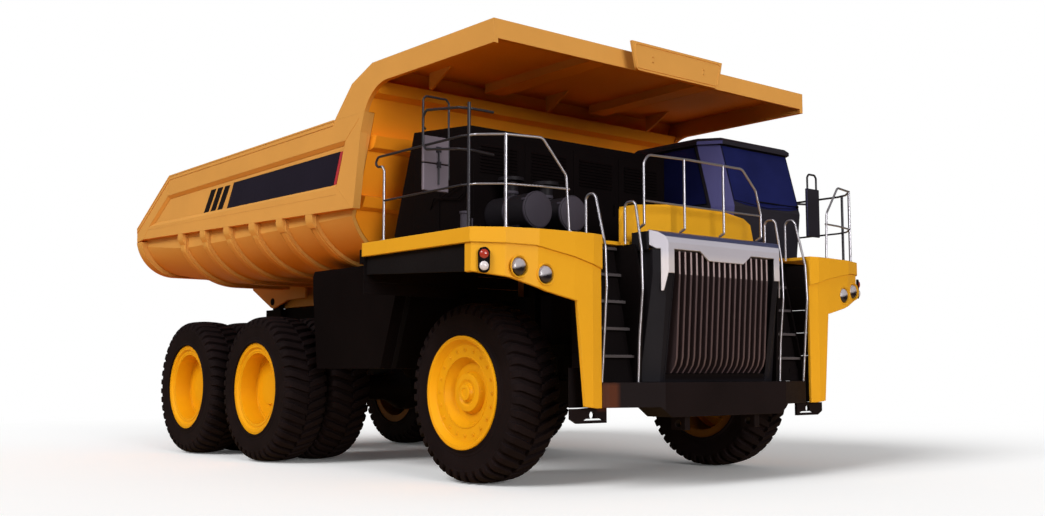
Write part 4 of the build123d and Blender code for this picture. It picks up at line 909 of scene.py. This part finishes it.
def build_canopy():
    welds, wall, board = Shape(), Shape(), Shape()
    for x in (0.79, 1.07):
        for z0, z1, radius in ((4.907, 4.887, 0.005), (5.004, 5.004, 0.006)):
            welds.pipe([(x, -4.362, z0), (x, -2.18, z1)], radius, 0, 5)
    welds.pipe([(-2.64, -4.362, 4.833), (2.64, -4.362, 4.833)], 0.006, 0, 5)
    piece("canopy_welds", welds.both(), "body_yellow", body="bed")
    for z, height, depth, half in ((3.29, 0.19, 0.13, 2.19), (4.01, 0.2, 0.13, 2.19),
            (4.64, 0.19, 0.17, 2.62)):
        for edge, level in ((z, z + 0.03), (z + height, z + height - 0.03)):
            y = -1.43 - 0.335 * (edge - 3.27) - depth  # the wall leans forward
            wall.pipe([(-half, y, level), (half, y, level)], 0.004, 0, 5)
    piece("front_wall_welds", wall, "wall_yellow_painted_bounce", "bed")
    ring = [(-0.7, 4.8), (0.7, 4.8), (0.765, 5.085), (-0.765, 5.085)]
    board.pipe(closed(flat(1, -4.601, ring)), 0.007, 0.05, 8)
    for x in (-0.45, 0.45):
        for z in (4.91, 4.97):
            board.nut((x, -4.6, z), -REAR, 0.011, 0.01)
    piece("name_board_rim", board, "body_yellow", body="bed")


# ---- underside, tanks, hoists and tail ----
TANK_LINE = [(-1.64, 1.3), (-2, 2.3), (-2.015, 2.56), (-1.975, 2.615),
        (0.01, 2.615), (0.052, 2.56), (0.045, 2.3), (-0.09, 1.3)]


def build_tanks():
    shape = Shape()
    middle = Vector((-0.98, 1.95))
    for x0, x1 in ((-2.3, -1.05), (1.05, 2.2)):
        for share in (0.16, 0.84):
            x = x0 + (x1 - x0) * share
            rings = []
            for corner in (Vector(point) for point in TANK_LINE):
                out = (corner - middle).normalized()
                near, far = corner - out * 0.012, corner + out * 0.006
                left, right = x - 0.035, x + 0.035
                rings.append([(left, *far), (right, *far), (right, *near), (left, *near)])
            shape.rings(rings)
        shape.lathe([(0, 0.002), (0, 0.085), (0.03, 0.085), (0.038, 0.07), (0.05, 0.07),
                (0.054, 0.002)], ((x0 + x1) / 2, -1.7, 2.613), 28, UPRIGHT)
    piece("tank_straps", shape, "skirt_grey")


def build_axles():
    shape = Shape()
    cover = [(0.2, 0.002), (0.2, 0.262), (0.232, 0.256), (0.238, 0.2), (0.3, 0.11), (0.3, 0.002)]
    band = [(1.02, 0.192), (1.02, 0.235), (1.05, 0.235), (1.05, 0.192)]
    for axle_y in REAR_AXLE_YS:
        middle = (0, axle_y, AXLE_Z)
        for sign in (1, -1):
            along = REAR * sign
            for spot in circle(middle, LEFT, UP, 0.235, 16):
                shape.nut(spot + along * 0.232, along, 0.012, 0.012, False)
            shape.lathe(cover, middle, 40, (along, LEFT, UP))
            shape.lathe([(sign * a, r) for a, r in band], middle, 40)
    for sign in (1, -1):
        shape.lathe([(0, 0.108), (0, 0.135), (0.03, 0.135), (0.05, 0.108)],
                (sign * 0.76, FRONT_AXLE_Y, 1.17), 28, UPRIGHT)
    shape.pipe([(x, FRONT_AXLE_Y + 0.2, 0.96) for x in (-1.4, 1.4)], 0.028, 0, 10)
    piece("axle_details", shape, "frame_black")


HOIST_FOOT = Vector((0, -0.4, 1.25))
HOIST_LEAN = radians(29.6463)


def build_hoists():
    along = Vector((0, cos(HOIST_LEAN), sin(HOIST_LEAN)))
    up = Vector((0, -sin(HOIST_LEAN), cos(HOIST_LEAN)))
    for side, sign in SIDES:
        start = HOIST_FOOT + LEFT * sign * 0.9
        shape = Shape()
        for a, r in ((0.075, 0.128), (1.93, 0.132)):
            shape.lathe([(a, 0.112), (a, r), (a + 0.045, r), (a + 0.045, 0.112)], start, 36,
                    (along, LEFT, up))
        for spot in circle(start + along * 1.974, LEFT, up, 0.094, 8, 0.2):
            shape.nut(spot, along, 0.01, 0.008, False)
        shape.pipe([start + along * a + up * 0.126 for a in (0.2, 1.75)], 0.011, 0, 8)
        piece(f"hoist_barrel_rings_{side}", shape, "frame_black", body=f"hoist_barrel_body_{side}")


def build_tail_lamps():
    lenses, rims = Shape(), Shape()
    for x in (0.425, 0.515):
        lenses.lathe([(0, 0.002), (0, 0.036), (0.01, 0.034), (0.018, 0.024), (0.021, 0.002)],
                (x, 4.64, 2.02), 28, (REAR, LEFT, UP))
    piece("tail_lamp_lenses", lenses.both(), "lens_red")
    rims.box((0.372, 4.601, 1.952), (0.568, 4.632, 2.088))
    piece("tail_lamp_frames", rims.both(), "seal_black", bevel=0.006)


# ---- seat ----
CLOTH_FRAMES = 20


def pad(name, keep):
    """Copies one solid of the CAD cushions: the vertices that pass the test."""
    work = bmesh.new()
    work.from_mesh(nodes["seat_cushions"].data)
    bmesh.ops.delete(work, geom=[v for v in work.verts if not keep(v.co)], context="VERTS")
    bmesh.ops.remove_doubles(work, verts=work.verts, dist=0.0005)
    mesh = bpy.data.meshes.new(name)
    work.to_mesh(mesh)
    work.free()
    return add_object(name, mesh)


def apply_all(made):
    bpy.context.view_layer.update()
    graph = bpy.context.evaluated_depsgraph_get()
    mesh = bpy.data.meshes.new_from_object(made.evaluated_get(graph))
    made.modifiers.clear()
    made.data = mesh


def swell(made, cap=0.022):
    """Inflates a cushion by cloth pressure, with each vertex's move capped."""
    rest = [v.co.copy() for v in made.data.vertices]
    cloth = made.modifiers.new("cloth", "CLOTH")
    cloth.settings.use_pressure = True
    cloth.settings.uniform_pressure_force = 4
    cloth.settings.effector_weights.gravity = 0
    cloth.point_cache.frame_start = 1
    cloth.point_cache.frame_end = CLOTH_FRAMES
    for number in range(1, CLOTH_FRAMES + 1):
        bpy.context.scene.frame_set(number)
    apply_all(made)
    bpy.context.scene.frame_set(1)
    for vertex, old in zip(made.data.vertices, rest):
        move = vertex.co - old
        if move.length > cap:
            vertex.co = old + move.normalized() * cap


def stuffed(name, keep, shrink=0.965):
    """Cushion: shrunk a little, remeshed, swollen as cloth, then smoothed."""
    made = pad(name, keep)
    centre = sum((v.co for v in made.data.vertices), Vector()) / len(made.data.vertices)
    for vertex in made.data.vertices:
        vertex.co = centre + (vertex.co - centre) * shrink
    remesh = made.modifiers.new("voxels", "REMESH")
    remesh.mode = "VOXEL"
    remesh.voxel_size = 0.006
    apply_all(made)
    swell(made)
    smooth = made.modifiers.new("smooth", "SUBSURF")
    smooth.levels = smooth.render_levels = 1
    apply_all(made)
    made.data.shade_smooth()
    made.data.materials.clear()
    made.data.materials.append(materials["seat_fabric"])
    return made


def seam(made, shape, start, end, direction):
    """Piping on the cushion's surface along a straight guide line."""
    points = []
    for k in range(25):
        origin = Vector(start).lerp(Vector(end), k / 24) - direction * 0.3
        hit, spot, _, _ = made.ray_cast(origin, direction)
        if hit:
            points.append(spot - direction * 0.001)
    if len(points) > 2:
        shape.pipe(points, 0.004, 0, 6)


def build_seat():
    cushion = stuffed("seat_cushion_stuffed", lambda co: co.z < 3.2005 and co.y < -3.195)
    back = stuffed("seat_back_stuffed", lambda co: co.y > -3.3 and 1.565 < co.x < 2.055 and not co.z < 3.19)
    piping = Shape()
    bpy.context.view_layer.update()
    for x in (1.66, 1.81, 1.96):
        seam(cushion, piping, (x, -3.67, 3.2), (x, -3.24, 3.2), -UP)
    for x in (1.67, 1.81, 1.95):
        seam(back, piping, (x, -3.27, 3.25), (x, -3.13, 3.8), REAR)
    for made in (cushion, back):
        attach(made, "chassis")
        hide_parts("seat_cushions")
    piece("seat_piping", piping, "seal_black")


# ---- stage, light and camera ----
AMBIENT = 0.35
REFLECTED = 0.12
FLOOR_TONE = (1.1, 1.1, 1.1)
BOUNCE_TONE = (0.8, 0.53, 0.26)


def seen_rays(tree):
    """Gives 1 for rays that the camera sees, also through glass."""
    path = add(tree, "LightPath").outputs
    return maths(tree, "MAXIMUM", path["Is Camera Ray"], path["Is Transmission Ray"])


def build_stage():
    """Pale floor that keeps the shadow near the truck and is white further out."""
    mesh = bpy.data.meshes.new("floor")
    work = bmesh.new()
    bmesh.ops.create_grid(work, x_segments=8, y_segments=8, size=400)
    work.to_mesh(mesh)
    work.free()
    floor = add_object("floor", mesh)
    floor.location.z = -0.001
    tree, _ = new_material("floor_pale")
    tree.nodes.clear()
    seen = seen_rays(tree)
    coords = add(tree, "TexCoord").outputs["Object"]
    reach = add(tree, "VectorMath", {0: coords}, operation="LENGTH").outputs["Value"]
    far = remap(tree, reach, 8, 18)
    tone = mixed(tree, mixed(tree, BOUNCE_TONE, FLOOR_TONE, seen), (0, 0, 0), far)
    white = mixed(tree, (0.03, 0.03, 0.03), (1, 1, 1), far)
    diffuse = add(tree, "BsdfDiffuse", {"Color": tone}).outputs[0]
    glow = add(tree, "Emission", {"Color": white, "Strength": seen}).outputs[0]
    total = add(tree, "AddShader", {0: diffuse, 1: glow}).outputs[0]
    add(tree, "OutputMaterial", {"Surface": total})
    mesh.materials.append(materials["floor_pale"])


def build_world():
    world = bpy.data.worlds.new("studio")
    bpy.context.scene.world = world
    world.use_nodes = True
    tree = world.node_tree
    path = add(tree, "LightPath").outputs
    level = remap(tree, path["Is Glossy Ray"], 0, 1, AMBIENT, REFLECTED)
    strength = maths(tree, "MAXIMUM", level, seen_rays(tree))
    feed(tree, tree.nodes["Background"], {"Color": (1, 1, 1, 1), "Strength": strength})


def sun(name, direction, strength, angle):
    data = bpy.data.lights.new(name, "SUN")
    data.energy = strength
    data.angle = radians(angle)
    made = add_object(name, data)
    made.rotation_mode = "QUATERNION"
    made.rotation_quaternion = Vector(direction).to_track_quat("Z", "Y")


def build_camera():
    data = bpy.data.cameras.new("camera")
    data.lens = 40.04
    data.sensor_width = 36
    made = add_object("camera", data)
    made.location = (-10.29, -13.923, 1.257)
    made.rotation_euler = (radians(95.6), 0, radians(-40))
    bpy.context.scene.camera = made


build_camera()
build_world()
sun("key", (-0.8, -0.08, 0.6), 2.15, 30)
sun("fill", (-0.18, -0.95, 0.13), 2.35, 30)
build_stage()
build_materials()
dress_nodes()
build_wheels()
build_guardrails()
build_grab_rails()
build_mirrors()
build_grille()
build_lamps()
build_ladders()
build_deck()
build_cab_glass()
build_cab_trim()
build_cabinet()
build_air_cleaners()
build_splash_panels()
build_body()
build_canopy()
build_tanks()
build_axles()
build_hoists()
build_tail_lamps()
build_seat()
bpy.context.scene.view_settings.view_transform = "Standard"
